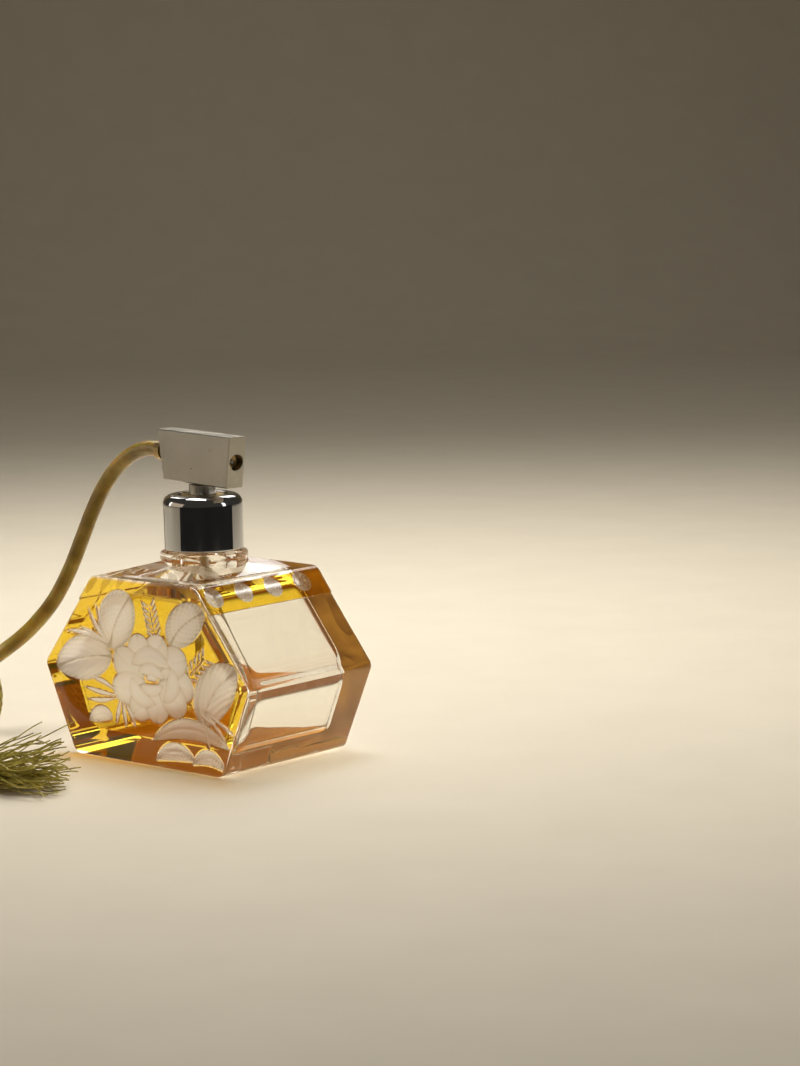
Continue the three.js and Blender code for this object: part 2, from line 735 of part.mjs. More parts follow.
const tasselHead = alongBulb([
  [0, FIT_GAP],
  ...Array.from({ length: 9 }, (_, i) => [
    TASSEL_HEAD_RADIUS * (0.55 + 0.45 * Math.sin((Math.PI * (i + 1)) / 9)),
    FIT_GAP + ((TASSEL_HEAD_LENGTH - FIT_GAP) * i) / 8,
  ]),
  [0, TASSEL_HEAD_LENGTH],
], 20);
addPart(tassel, 'tassel_head', tasselHead, ...SILK);

// Threads of the fringe, as one flattened spindle that lies on the table.
function fringe() {
  const rings = 9;
  const sides = 16;
  const points = [];
  for (let i = 0; i <= rings; i += 1) {
    const share = i / rings;
    const swell = Math.sin(Math.PI * Math.min(1, 0.2 + share * 0.78));
    const halfWidth = 0.8 + (FRINGE_HALF_WIDTH - 0.8) * swell;
    const high = 1 + (FRINGE_HEIGHT - 1) * swell;
    const along = TASSEL_HEAD_LENGTH + FIT_GAP + FRINGE_LENGTH * share;
    for (let j = 0; j < sides; j += 1) {
      const angle = (2 * Math.PI * j) / sides;
      const up = FLOOR_GAP - cordEndZ + (high / 2) * (1 + Math.sin(angle));
      points.push([along, halfWidth * Math.cos(angle), up]);
    }
  }
  const faces = [];
  for (let i = 0; i < rings; i += 1) {
    for (let j = 0; j < sides; j += 1) {
      const a = i * sides + j;
      const b = i * sides + ((j + 1) % sides);
      faces.push([a, b, b + sides], [a, b + sides, a + sides]);
    }
  }
  const last = rings * sides;
  for (let j = 1; j < sides - 1; j += 1) {
    faces.push([0, j + 1, j], [last, last + j, last + j + 1]);
  }
  const geometry = new THREE.BufferGeometry();
  geometry.setAttribute('position', new THREE.Float32BufferAttribute(points.flat(), 3));
  geometry.setIndex(faces.flat());
  return closed(geometry);
}
addPart(tassel, 'tassel_fringe', fringe(), ...SILK);

export default model;
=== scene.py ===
# %% [markdown]
# # A perfume atomiser, dressed around its frame
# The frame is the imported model: every piece in its real place and at its real size, in metres. This lesson
# keeps the frame as it is. Each soft or detailed piece gets a finer surface in the same place, and each
# plain metal piece gets a better finish.

# %% The frame and its box
import json
import math

import bpy
import numpy as np
from mathutils import Matrix, Vector


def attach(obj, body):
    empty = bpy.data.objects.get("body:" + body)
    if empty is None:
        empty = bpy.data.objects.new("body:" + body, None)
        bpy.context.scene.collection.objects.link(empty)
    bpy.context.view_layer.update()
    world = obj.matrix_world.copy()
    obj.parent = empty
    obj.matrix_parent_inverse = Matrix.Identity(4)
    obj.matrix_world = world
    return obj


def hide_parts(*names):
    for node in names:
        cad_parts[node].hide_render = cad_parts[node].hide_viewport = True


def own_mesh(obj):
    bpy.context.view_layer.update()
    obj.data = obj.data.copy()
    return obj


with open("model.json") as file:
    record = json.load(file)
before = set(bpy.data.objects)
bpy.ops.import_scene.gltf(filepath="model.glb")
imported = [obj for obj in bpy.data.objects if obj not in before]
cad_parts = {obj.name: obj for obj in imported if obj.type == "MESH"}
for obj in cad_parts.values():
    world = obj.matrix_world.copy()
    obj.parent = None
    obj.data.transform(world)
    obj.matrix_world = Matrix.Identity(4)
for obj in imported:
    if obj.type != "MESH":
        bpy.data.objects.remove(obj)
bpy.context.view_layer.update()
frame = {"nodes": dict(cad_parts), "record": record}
MM = 0.001

# %% [markdown]
# ## The camera
# A long lens far away keeps the bottle's slanted sides nearly parallel. The camera stands a little above
# the bottle, in front and to the right of it, so that the engraved front and the right side both show. A
# Track To constraint would aim it too. Here it is turned by three plain angles, a heading, a dip and a
# slight lean, because they can be read and changed one at a time.

# %% Camera
CAMERA_PLACE = (0.66346, -0.65869, 0.19722)
CAMERA_HEADING = math.radians(41.43)
CAMERA_DIP = math.radians(7.89)
CAMERA_LEAN = math.radians(-1.2)
LENS = 101.4
SENSOR_WIDTH = 36


def turn(angle, axis):
    """Rotation matrix about one axis."""
    return Matrix.Rotation(angle, 4, axis)


camera = bpy.data.objects.new("camera", bpy.data.cameras.new("camera"))
camera.data.lens = LENS
camera.data.sensor_width = SENSOR_WIDTH
camera.data.clip_start = 0.01
camera.matrix_world = (Matrix.Translation(CAMERA_PLACE) @ turn(CAMERA_HEADING, "Z")
                       @ turn(math.pi / 2 - CAMERA_DIP, "X") @ turn(CAMERA_LEAN, "Z"))
bpy.context.collection.objects.link(camera)
bpy.context.scene.camera = camera
print(f"camera {Vector(CAMERA_PLACE).length:.2f} m from the bottle, lens {LENS} mm")

# %% [markdown]
# ## Surfaces from arrays
# Every new piece is a grid of points: rows along it, columns around it. Such shapes could be modelled by
# hand or with modifiers, but a grid worked out from a formula keeps its real sizes and can be changed by
# one number. The first helpers turn grids into the faces of closed surfaces.

# %% Grids into closed surfaces
def grid_faces(rows, cols, loop=False):
    """Corner numbers of every four-sided face of a grid whose columns run round and meet.
    With loop, the last row also joins the first."""
    row_start = np.arange(rows if loop else rows - 1)[:, None] * cols
    here = (row_start + np.arange(cols)).ravel()
    right = (row_start + (np.arange(cols) + 1) % cols).ravel()
    total = rows * cols
    return np.stack([here, right, (right + cols) % total, (here + cols) % total], 1)


def fan_faces(ring_start, cols, centre, flip):
    """Triangles from one closed row of points to a centre point: each point, the next one and the centre."""
    here = ring_start + np.arange(cols)
    right = ring_start + (np.arange(cols) + 1) % cols
    middle = np.full(cols, centre)
    return np.stack([right, here, middle] if flip else [here, right, middle], 1)


def shell(grid, loop=False):
    """A closed surface from a grid [rows, columns, xyz]: points and a list of face arrays.
    Without loop, the first and last rows are closed to their own middles."""
    rows, cols = grid.shape[:2]
    points = grid.reshape(-1, 3)
    if loop:
        return points, [grid_faces(rows, cols, True)]
    ends = np.stack([grid[0].mean(0), grid[-1].mean(0)])
    first, last = len(points), len(points) + 1
    faces = [grid_faces(rows, cols), fan_faces(0, cols, first, True)]
    faces.append(fan_faces((rows - 1) * cols, cols, last, False))
    return np.concatenate([points, ends]), faces


def gather(shells):
    """Several closed surfaces as the points and faces of one mesh."""
    points, faces, start = [], [], 0
    for some_points, some_faces in shells:
        points.append(some_points)
        faces += [f + start for f in some_faces]
        start += len(some_points)
    return np.concatenate(points), faces


# %% [markdown]
# A mesh is filled straight from arrays with foreach_set, which is much faster than adding points one by
# one. If the volume inside the faces comes out negative, the faces look inwards and are turned round. Each
# piece then rides on one moving body of the frame and says which of the frame's parts it stands in for.

# %% A piece from its arrays
def volume(points, faces):
    """Volume inside closed faces: a sixth of the sum of the triple products of their triangles."""
    total = 0.0
    for f in faces:
        for k in range(1, f.shape[1] - 1):
            a, b, c = points[f[:, 0]], points[f[:, k]], points[f[:, k + 1]]
            total += np.einsum("ij,ij->", a, np.cross(b, c)) / 6
    return total


def piece(name, points, faces, body, replaced=(), slot=None, sharp=35, attributes=None):
    """A mesh object in the row frame from points in millimetres, riding on a body of the frame."""
    if volume(points, faces) < 0:
        faces = [f[:, ::-1] for f in faces]
    mesh = bpy.data.meshes.new(name)
    mesh.vertices.add(len(points))
    mesh.vertices.foreach_set("co", (points * MM).astype(np.float32).ravel())
    sizes = np.concatenate([np.full(len(f), f.shape[1]) for f in faces])
    mesh.loops.add(int(sizes.sum()))
    mesh.loops.foreach_set("vertex_index", np.concatenate([f.ravel() for f in faces]).astype(np.int32))
    mesh.polygons.add(len(sizes))
    mesh.polygons.foreach_set("loop_start", (np.cumsum(sizes) - sizes).astype(np.int32))
    mesh.update(calc_edges=True)
    mesh.shade_smooth()
    mesh.set_sharp_from_angle(angle=math.radians(sharp))
    for key, values in (attributes or {}).items():
        layer = mesh.attributes.new(key, "FLOAT", "POINT")
        layer.data.foreach_set("value", values.astype(np.float32))
    made = bpy.data.objects.new(name, mesh)
    bpy.context.collection.objects.link(made)
    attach(made, body)
    if replaced:
        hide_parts(*replaced)
    print(f"{name}: {len(points)} points, {len(sizes)} faces")
    return made


# %% [markdown]
# A thread, a hose and a cap all come from two moves: a round section carried along a path, or a profile
# turned about an axis. Blender's bevelled curves and its Screw modifier do the same. Arrays do it for two
# hundred threads at once, and give a mesh that is closed at both ends.

# %% Tubes, turned shapes and arcs
def unit(vectors):
    """Vectors divided by their lengths."""
    return vectors / np.linalg.norm(vectors, axis=-1, keepdims=True)


def tubes(paths, radii, sides, reference):
    """Closed tubes round many paths at once, [paths, steps, xyz]. Each ring is the path's point plus
    radius times (cosine of the angle, sine of the angle) in the plane square to the path."""
    ahead = unit(np.gradient(paths, axis=1))
    across = unit(np.cross(ahead, reference))
    up = np.cross(across, ahead)
    angle = np.linspace(0, 2 * math.pi, sides, endpoint=False)
    radii = np.broadcast_to(radii, paths.shape[:2])[..., None, None]
    ring = across[:, :, None] * np.cos(angle)[:, None] + up[:, :, None] * np.sin(angle)[:, None]
    return gather([shell(g) for g in paths[:, :, None] + radii * ring])


def lathe(profile, sides, loop=True):
    """Grid of a profile of [radius, height] pairs turned about Z: (r cos a, r sin a, z)."""
    profile = np.asarray(profile, float)
    angle = np.linspace(0, 2 * math.pi, sides, endpoint=False)
    around = np.stack([np.cos(angle), np.sin(angle)], 1)
    flat = profile[:, None, :1] * around
    height = np.broadcast_to(profile[:, 1][:, None, None], flat.shape[:2] + (1,))
    return shell(np.concatenate([flat, height], 2), loop)


def rounding(centre, radius, start, end, steps):
    """Points of an arc, angles in degrees: centre plus radius times (cosine, sine)."""
    angle = np.radians(np.linspace(start, end, steps))
    return np.stack([centre[0] + radius * np.cos(angle), centre[1] + radius * np.sin(angle)], 1)


# %% [markdown]
# ## The hose
# The air hose is a short length of rubber tube, 135 mm from the head's back end to the bulb's neck. It
# leaves the head level, falls in one loose curve behind the bottle and comes to the bulb near the table. A
# Bezier curve with a bevel would look the same. The same points as in the frame are joined by a smooth
# curve instead, and a round section is carried along it, so that its length can be measured and kept.

# %% Hose
HOSE_RADIUS = 2.45
HOSE_SIDES = 32
STEPS_PER_POINT = 10
HOSE_POINTS = np.array([
    [-19.8, 4.0, 93.7], [-27.8, 5.3, 93.9], [-35.8, 5.9, 92.1], [-43.6, 6.1, 87.6],
    [-50.4, 5.9, 80.9], [-56.2, 5.5, 72.3], [-61.1, 4.6, 62.4], [-65.6, 2.6, 51.6],
    [-70.1, -1.0, 41.4], [-74.9, -7.6, 32.3], [-78.4, -16.8, 25.8], [-78.7, -26.8, 22.2],
    [-75.6, -36.2, 21.3], [-70.4, -44.5, 21.2],
])


def smooth_path(points, steps):
    """Cubic pieces through every point. At each point the curve heads along the line between its two
    neighbours, weighted by the square roots of the distances to them."""
    ends = np.concatenate([[2 * points[0] - points[1]], points, [2 * points[-1] - points[-2]]])
    p0, p1, p2, p3 = ends[:-3], ends[1:-2], ends[2:-1], ends[3:]
    d0, d1, d2 = (np.sqrt(np.linalg.norm(b - a, axis=1, keepdims=True))
                  for a, b in ((p0, p1), (p1, p2), (p2, p3)))
    t1 = ((p1 - p0) / d0 - (p2 - p0) / (d0 + d1) + (p2 - p1) / d1) * d1
    t2 = ((p2 - p1) / d1 - (p3 - p1) / (d1 + d2) + (p3 - p2) / d2) * d1
    s = np.linspace(0, 1, steps, endpoint=False)[:, None, None]
    cubic = (2 * p1 - 2 * p2 + t1 + t2) * s ** 3 + (3 * p2 - 3 * p1 - 2 * t1 - t2) * s ** 2 + t1 * s + p1
    return np.concatenate([cubic.transpose(1, 0, 2).reshape(-1, 3), points[-1:]])


hose_path = smooth_path(HOSE_POINTS, STEPS_PER_POINT)
HOSE_LENGTH = np.linalg.norm(np.diff(hose_path, axis=0), axis=1).sum()
hose = piece("hose_tube", *tubes(hose_path[None], HOSE_RADIUS, HOSE_SIDES, (0.6, 0.75, 0.2)), "spray_head",
             ["hose"], "hose_rubber")
print(f"hose length {HOSE_LENGTH:.1f} mm")

# %% [markdown]
# ## The glass bottle
# The real bottle is a thick block of glass cut to a six-sided outline, with a smooth hollow inside.
# Boolean cuts and bevels could make it, but they leave long thin faces, on which the engraving can't be
# carved. So one grid makes all of it: rows climb the outside from the base to the collar and the neck, go
# over the lip, and come down inside the neck and the hollow. Each row is a rounded rectangle, or a circle
# where the glass is round. This cell lays out the outline that the rows follow, with every sharp corner
# slightly eased.

# %% Bottle outline
BODY_DEPTH = 55
BODY_HEIGHT = 57.5
MID_HEIGHT = 28
HALF_TOP, HALF_MID, HALF_BASE = 23, 45.5, 33
BAND_SHARE = 0.27
BAND_STEP = 0.4
ROOF_RISE = 6
COLLAR_RADIUS, COLLAR_TOP = 13.8, 64.0
NECK_RADIUS, NECK_TOP, NECK_BORE = 8.9, 76.4, 6.8
BASE_WALL, FACE_WALL, ROOF_WALL = 8, 6.5, 5
ROW_SPACING, HOLLOW_SPACING = 0.37, 3.0
SHARP_EASE, MID_EASE, STEP_EASE = 2.4, 1.6, 0.05
FLAT_START = 2.6


def eased(corners, spacing):
    """Points about one spacing apart along straight runs whose corners [x, z, ease] are cut by a curve
    that starts ease before the corner and ends ease after it."""
    corners = np.asarray(corners, float)
    line = [corners[0, :2][None]]
    for before, here, after in zip(corners[:-2], corners[1:-1], corners[2:]):
        start = here[:2] + unit(before[:2] - here[:2]) * here[2]
        end = here[:2] + unit(after[:2] - here[:2]) * here[2]
        t = np.linspace(0, 1, 7)[:, None]
        line.append((1 - t) ** 2 * start + 2 * t * (1 - t) * here[:2] + t ** 2 * end)
    line.append(corners[-1:, :2])
    line = np.concatenate(line)
    keep = np.r_[True, np.linalg.norm(np.diff(line, axis=0), axis=1) > 1e-6]
    line = line[keep]
    filled = [line[:1]]
    for a, b in zip(line[:-1], line[1:]):
        count = max(1, int(round(np.linalg.norm(b - a) / spacing)))
        filled.append(a + (b - a) * (np.arange(1, count + 1) / count)[:, None])
    return np.concatenate(filled)


mid, top = np.array([HALF_MID, MID_HEIGHT]), np.array([HALF_TOP, BODY_HEIGHT])
band_edge = top + (mid - top) * BAND_SHARE
inward = unit(np.array([-(mid - top)[1], (mid - top)[0]])) * -BAND_STEP
band_foot = band_edge + inward
outline = eased([[HALF_BASE - FLAT_START, 0, 0], [HALF_BASE, 0, SHARP_EASE], [*mid, MID_EASE],
                 [*band_foot, STEP_EASE], [*band_edge, STEP_EASE], [*top, SHARP_EASE],
                 [HALF_TOP - FLAT_START, BODY_HEIGHT, 0]], ROW_SPACING)
print(f"outline: {len(outline)} rows, widest {outline[:, 0].max():.1f} mm from the middle")

# %% [markdown]
# The columns go once round the bottle, most of them across the engraved front, where the detail is. A
# column keeps a place on the unit square and the direction that it faces, so the same column can be put on
# any rounded rectangle, and on a circle by its angle. Even columns would need several times as many
# points.

# %% Columns round the bottle
FRONT_COLUMNS = 252
BACK_COLUMNS = 48
SIDE_COLUMNS = 24
CORNER_COLUMNS = 4
VERTICAL_EDGE = 0.7


def square_columns():
    """Unit square places and facing directions: along the front, round a corner, along the side, and on."""
    place, facing = [], []
    corners = [(-1, -1), (1, -1), (1, 1), (-1, 1)]
    counts = [FRONT_COLUMNS, SIDE_COLUMNS, BACK_COLUMNS, SIDE_COLUMNS]
    for k, count in enumerate(counts):
        a, b = np.array(corners[k], float), np.array(corners[(k + 1) % 4], float)
        place.append(a + (b - a) * np.linspace(0, 1, count)[:, None])
        face_angle = math.radians(-90 + 90 * k)
        facing.append(np.tile([math.cos(face_angle), math.sin(face_angle)], (count, 1)))
        turned = face_angle + np.linspace(0, math.pi / 2, CORNER_COLUMNS + 2)[1:-1]
        place.append(np.tile(b, (CORNER_COLUMNS, 1)))
        facing.append(np.stack([np.cos(turned), np.sin(turned)], 1))
    return np.concatenate(place), np.concatenate(facing)


PLACE, FACING = square_columns()
IS_FRONT = np.abs(FACING[:, 1] + 1) < 1e-9
IS_SIDE = np.abs(np.abs(FACING[:, 0]) - 1) < 1e-9
print(f"columns: {len(PLACE)}, of which {IS_FRONT.sum()} on the front")


def raised(flat, heights):
    """Rows of [x, y] places lifted to the height of each row."""
    return np.concatenate([flat, np.broadcast_to(heights[:, None, None], flat.shape[:2] + (1,))], 2)


def boxed(half_width, half_depth, ease):
    """Rows of rounded rectangles: place times (half size less ease) plus facing times ease."""
    half = np.stack(np.broadcast_arrays(half_width, half_depth), -1)[:, None]
    return PLACE * (half - ease) + FACING * ease


def ringed(radius, angles):
    """Rows of circles at the columns' own angles."""
    return np.asarray(radius, float)[:, None, None] * np.stack([np.cos(angles), np.sin(angles)], -1)


# %% [markdown]
# ## The engraving
# A cutter's wheel leaves hollows that are widest in the middle of a stroke and fade at its ends. A bump
# map could suggest them, but real hollows bend the light that comes through the glass, so they are carved
# into the surface. Each petal, leaf and blade is one stroke: a curved line of discs whose radii swell and
# shrink. The depth of the cut at a point is how far the point lies inside the nearest disc. Veins are
# finer cuts across it.

# %% One stroke of the cutting wheel
VEIN_SPACING, VEIN_SLANT = 1.3, 0.7
RIB_WIDTH = 0.45
FEWEST_DISCS, MOST_DISCS = 26, 90


def curved(start, bend, end, count):
    """Points of a curve that leaves start towards bend and comes into end from bend: start, bend and end
    weighted by the squares and the product of the share still to go and the share done."""
    t = np.linspace(0, 1, count)[:, None]
    return (1 - t) ** 2 * np.array(start) + 2 * t * (1 - t) * np.array(bend) + t ** 2 * np.array(end)


def stroke(x, z, start, bend, end, width, belly=0.5, veins=0.0, rib=0.0):
    """Depth inside one swelling stroke and its fine lines. The radius along the stroke is width times the
    sine of pi times the share of the length, with its widest place moved to belly."""
    reach = math.dist(start, bend) + math.dist(bend, end)
    discs = int(np.clip(5 * reach / width, FEWEST_DISCS, MOST_DISCS))
    line = curved(start, bend, end, discs)
    share = np.linspace(0, 1, discs)
    power = math.log(0.5) / math.log(belly)
    radius = width * np.sin(math.pi * share ** power) ** 0.75
    away_x = x[..., None] - line[:, 0]
    away_z = z[..., None] - line[:, 1]
    inside = radius - np.hypot(away_x, away_z)
    best = inside.argmax(-1)
    depth = np.take_along_axis(inside, best[..., None], -1)[..., 0]
    heading = unit(np.gradient(line, axis=0))
    side = (np.take_along_axis(away_x, best[..., None], -1)[..., 0] * heading[best, 1]
            - np.take_along_axis(away_z, best[..., None], -1)[..., 0] * heading[best, 0])
    length = np.linalg.norm(np.diff(line, axis=0), axis=1).sum()
    slant = share[best] * length + VEIN_SLANT * np.abs(side)
    lines = veins * (0.5 + 0.5 * np.cos(slant * 2 * math.pi / VEIN_SPACING))
    middle = rib * np.exp(-(side / RIB_WIDTH) ** 2)
    return depth, lines + middle


# %% [markdown]
# The spray is a rose with leaves, grass blades and two ears of wheat. It is written down as a list of
# strokes, as an engraver would number them, because a list is easy to move about one stroke at a time.

# %% The flower spray
ROSE = np.array([3.0, 27.2])


def flower_spray():
    """Every stroke of one face, in millimetres on the face: start, bend, end, width, belly, veins, rib."""
    spray = [
        ((-14.6, 36.2), (-14.5, 43.5), (-6.6, 51.2), 8.0, 0.56, 0.25, 0.8),
        ((11.8, 38.8), (14.8, 45.6), (26.6, 50.2), 6.3, 0.55, 0.35, 0.8),
        ((-15.4, 32.4), (-26, 32.6), (-39.8, 26.8), 7.4, 0.5, 0.2, 0.9),
        ((25.4, 14.6), (25.8, 25.5), (39.6, 33.6), 7.6, 0.55, 0.3, 0.7),
        ((2.2, 7.6), (18, 18.6), (36.8, 8.4), 3.5, 0.5, 0.3, 0.5),
        ((3.6, 1.9), (12, 8.6), (21.6, 3.4), 3.0, 0.5, 0.45, 0.6),
        ((19.6, 2.2), (27, 9), (34.6, 1.6), 2.6, 0.5, 0.45, 0.6),
        ((-15, 12.6), (-20, 15.8), (-26, 11), 2.9, 0.5, 0.2, 0.5),
    ]
    for angle in np.radians([-12, 31, 72, 112, 152, 196, 238, 276, 318]):
        reach = 13.6 + 3.4 * abs(math.cos(angle))
        tip = ROSE + reach * np.array([math.cos(angle), 0.84 * math.sin(angle)])
        root = ROSE + np.array([2.5 * math.cos(angle), 2 * math.sin(angle)])
        side = ROSE + reach * np.array([0.6 * math.cos(angle + 0.3), 0.5 * math.sin(angle + 0.3)])
        spray.append((root, side, tip, 5.6, 0.62, 0, 0.3))
    spray += [
        ((-6.4, 30.6), (2, 38), (11.4, 31), 3.4, 0.5, 0, 0.2),
        ((10.8, 31.6), (15, 25), (7.6, 20.4), 3.2, 0.5, 0, 0.2),
        ((-5.6, 27), (-6, 19.6), (5, 19.4), 3.2, 0.5, 0, 0.2),
        ((-3.4, 28.6), (3, 32.4), (8.6, 27.2), 2.4, 0.5, 0, 0.2),
        ((-2.4, 25.2), (3, 21.6), (7.8, 25.8), 2.2, 0.5, 0, 0.2),
        ((0.4, 26.8), (3, 28.6), (5.4, 26.6), 1.4, 0.5, 0, 0),
    ]
    for tip, bend in [((-24.6, 47.6), (-21.4, 39.6)), ((-21.2, 49.2), (-18.8, 41.4)),
                      ((-35.4, 38.8), (-25, 40)), ((-29, 40.6), (-22.6, 39.4))]:
        spray.append(((-14.4, 35.4), bend, tip, 1.0, 0.55, 0, 0))
    for tip, bend in [((-25, 25.2), (-18, 24.8)), ((-27.6, 21.8), (-19, 20)), ((-26.4, 18), (-18, 17.4)),
                      ((-13.5, 11), (-12.2, 16)), ((-9, 10.4), (-9.6, 15.2)), ((-4.6, 10.8), (-6.6, 15.4))]:
        spray.append(((-11, 20.6), bend, tip, 0.95, 0.6, 0, 0))
    for tip, bend in [((30.8, 15.4), (24, 17)), ((34.6, 10.8), (31, 15)), ((27.4, 7.6), (27, 12)),
                      ((38.4, 13.6), (33, 15.6))]:
        spray.append(((22.4, 21.4), bend, tip, 0.9, 0.6, 0, 0))
    return spray


# %% [markdown]
# The two ears of wheat are alike, so one rule draws both. Where strokes cross, a cutter leaves a thin ridge
# between them. Adding the depths up would give pits instead, so the deeper cut is kept and its rim lifted.

# %% Wheat ears, and all strokes together
def wheat_ear(foot, tip, leaves):
    """Paired short strokes up a stalk, like an ear of wheat: each root is a share of the way from foot to
    tip, and its two ends lie a little further up and to either side."""
    foot, tip = np.array(foot, float), np.array(tip, float)
    along = unit(tip - foot)
    across = np.array([-along[1], along[0]])
    made = [(foot, (foot + tip) / 2, tip, 0.35, 0.5, 0, 0)]
    for share in np.linspace(0.12, 0.9, leaves):
        root = foot + (tip - foot) * share
        for hand in (-1, 1):
            end = root + along * 2.4 + hand * across * 3.1
            bend = root + along * 0.2 + hand * across * 2.2
            made.append((root, bend, end, 0.62, 0.6, 0, 0))
    return made


STROKES = flower_spray() + wheat_ear((5.4, 39.6), (2.6, 51), 6) + wheat_ear((18.4, 28.8), (27.4, 36.6), 5)
CUT_EDGE = 0.45
print(f"strokes in the engraving: {len(STROKES)}")


def engraving(x, z):
    """Cut share and depth over a face. Where strokes cross, the deeper one is kept, and a thin uncut line
    stays where one petal's rim meets the next."""
    share = np.zeros_like(x)
    carved = np.zeros_like(x)
    for start, bend, end, width, belly, veins, rib in STROKES:
        depth, lines = stroke(x, z, start, bend, end, width, belly, veins, rib)
        mask = np.clip(depth / CUT_EDGE, 0, 1)
        bowl = 1 - (1 - np.clip(depth / width, 0, 1)) ** 2
        # The same depth both cuts the glass and, in the glass finish, sets painted shade: shallow rims and
        # veins come out darker grey.
        here = mask * (0.45 + 0.55 * bowl - 0.55 * lines)
        carved = np.where(depth > 0, np.maximum(carved * (1 - 0.5 * mask), here), carved)
        share = np.maximum(share, mask)
    return share, carved


# %% [markdown]
# Now the rows are put together. The front is carved by up to half a millimetre, and three numbers are kept
# for every point: how ground it is, how deep it is cut and how much yellow stain it has. The finish reads
# them later, so a colour edge always falls exactly on the edge of a cut. Painting them on a flat picture
# of the surface would need far more care to line up. The depth of cut also sets painted shade on the
# ground glass: darker grey where the cut is shallow, white where it is deep.

# %% Carved body
CUT_DEPTH = 0.5
BASE_STAIN = 0.8
PLAIN_RIM, RIM_FADE, STAIN_FADE = 0.5, 1.0, 0.8


def carved_body():
    """Rows up the outside, with the cut, bowl and stain shares of every point. A front point moves back by
    its share of the full depth of cut, and the cuts fade out near every edge."""
    body = raised(boxed(outline[:, 0], BODY_DEPTH / 2, VERTICAL_EDGE), outline[:, 1])
    share, carved = np.zeros(body.shape[:2]), np.zeros(body.shape[:2])
    share[:, IS_FRONT], carved[:, IS_FRONT] = engraving(body[:, IS_FRONT, 0], body[:, IS_FRONT, 2])
    rim = np.minimum(body[..., 2], BODY_HEIGHT - body[..., 2])
    inset = outline[:, 0][:, None] - np.abs(body[..., 0])
    to_edge = np.minimum(rim, inset)
    room = np.clip((to_edge - PLAIN_RIM) / RIM_FADE, 0, 1)
    share, carved = share * room, carved * room
    body[..., 1] -= np.sign(body[..., 1]) * carved * CUT_DEPTH
    on_band = (body[..., 2] > band_edge[1] - 0.1) & (body[..., 2] < BODY_HEIGHT - STAIN_FADE)
    stain = np.where(IS_FRONT, np.clip(to_edge / STAIN_FADE, 0, 1), on_band * IS_SIDE * 1.0)
    stain[0] = BASE_STAIN
    return body, share, carved, stain


glass_body, cut_share, bowl_share, stain_share = carved_body()
print(f"front ground by the wheel: {cut_share[:, IS_FRONT].mean():.0%}")

# %% [markdown]
# The roof has to pass from a rectangle to a circle. A bridge between two edge loops does that too, but twists
# when their corners don't match. Here each column goes straight over from its place on the edge to its place
# on the circle. The neck is plain circles, and the hollow is rounded rectangles again, a wall's thickness in.

# %% Roof, neck and hollow
ROOF_ROWS = 8
NECK_EASE, LIP_EASE = 0.5, 0.3
HOLLOW_EASE, HOLLOW_NARROWS = 3.5, 12


def roof_rows(edge, angles):
    """Places shared between the top edge's rectangle and a circle. The height is the roof's rise times one
    less the greater of the shares of the half width and half depth."""
    t = np.linspace(0, 1, ROOF_ROWS + 1)[1:, None, None]
    flat = edge[None, :, :2] * (1 - t) + ringed([COLLAR_RADIUS], angles)[0] * t
    wide = np.abs(edge[:, 0]).max()
    steep = np.maximum(np.abs(flat[..., 0]) / wide, np.abs(flat[..., 1]) / (BODY_DEPTH / 2))
    return np.concatenate([flat, (BODY_HEIGHT + ROOF_RISE * (1 - steep))[..., None]], 2)


def neck_rows(angles):
    """Circles up the collar and the neck, over the lip and down the bore: a profile of [radius, height]."""
    profile = np.concatenate([
        [[COLLAR_RADIUS - 0.25, COLLAR_TOP - 2.7], [COLLAR_RADIUS, COLLAR_TOP - 2.0],
         [COLLAR_RADIUS, COLLAR_TOP - 1.2]],
        rounding((COLLAR_RADIUS - 0.9, COLLAR_TOP - 0.9), 0.9, 0, 90, 6),
        [[NECK_RADIUS + NECK_EASE, COLLAR_TOP], [NECK_RADIUS, COLLAR_TOP + 0.4],
         [NECK_RADIUS, NECK_TOP - LIP_EASE], [NECK_RADIUS - LIP_EASE, NECK_TOP],
         [NECK_BORE + LIP_EASE, NECK_TOP], [NECK_BORE, NECK_TOP - LIP_EASE], [NECK_BORE, BODY_HEIGHT - 1]]])
    return raised(ringed(profile[:, 0], angles), profile[:, 1])


def hollow_rows():
    """Rounded rectangles down the hollow. Near its ends the half depth shrinks in step with the half width,
    and each corner's ease is a share of the smaller of the two."""
    hollow = eased([[11, BODY_HEIGHT - ROOF_WALL, 0], [18.5, BODY_HEIGHT - ROOF_WALL - 0.5, 4],
                    [37.2, MID_HEIGHT, 5], [29.5, BASE_WALL, 4], [3, BASE_WALL - 0.3, 0]], HOLLOW_SPACING)
    half_depth = (BODY_DEPTH / 2 - FACE_WALL) * np.clip(hollow[:, 0] / HOLLOW_NARROWS, 0, 1)
    corner = np.minimum(HOLLOW_EASE, 0.7 * np.minimum(hollow[:, 0], half_depth))
    return raised(boxed(hollow[:, 0], half_depth, corner[:, None, None]), hollow[:, 1])


around = np.arctan2(glass_body[-1, :, 1], glass_body[-1, :, 0])
plain_glass = np.concatenate([roof_rows(glass_body[-1], around), neck_rows(around), hollow_rows()])
glass_points, glass_faces = shell(np.concatenate([glass_body, plain_glass]))
plain = np.zeros(plain_glass.shape[:2]).ravel()
bottle = piece("bottle_glass", glass_points, glass_faces, "bottle", ["glass_bottle"], "stained_glass", 30,
               {"cut": np.r_[cut_share.ravel(), plain, 0, 0], "bowl": np.r_[bowl_share.ravel(), plain, 0, 0],
                "stain": np.r_[stain_share.ravel(), plain, BASE_STAIN, 0]})

# %% [markdown]
# ## The screw cap
# A drawn metal cup, mirror bright. Its looks depend on a smooth shoulder. The frame's cap could be kept
# and smoothed, but its few sides would still show as facets in the reflections. So it is turned again with
# many more sides and a rounder shoulder, inside the same outline.

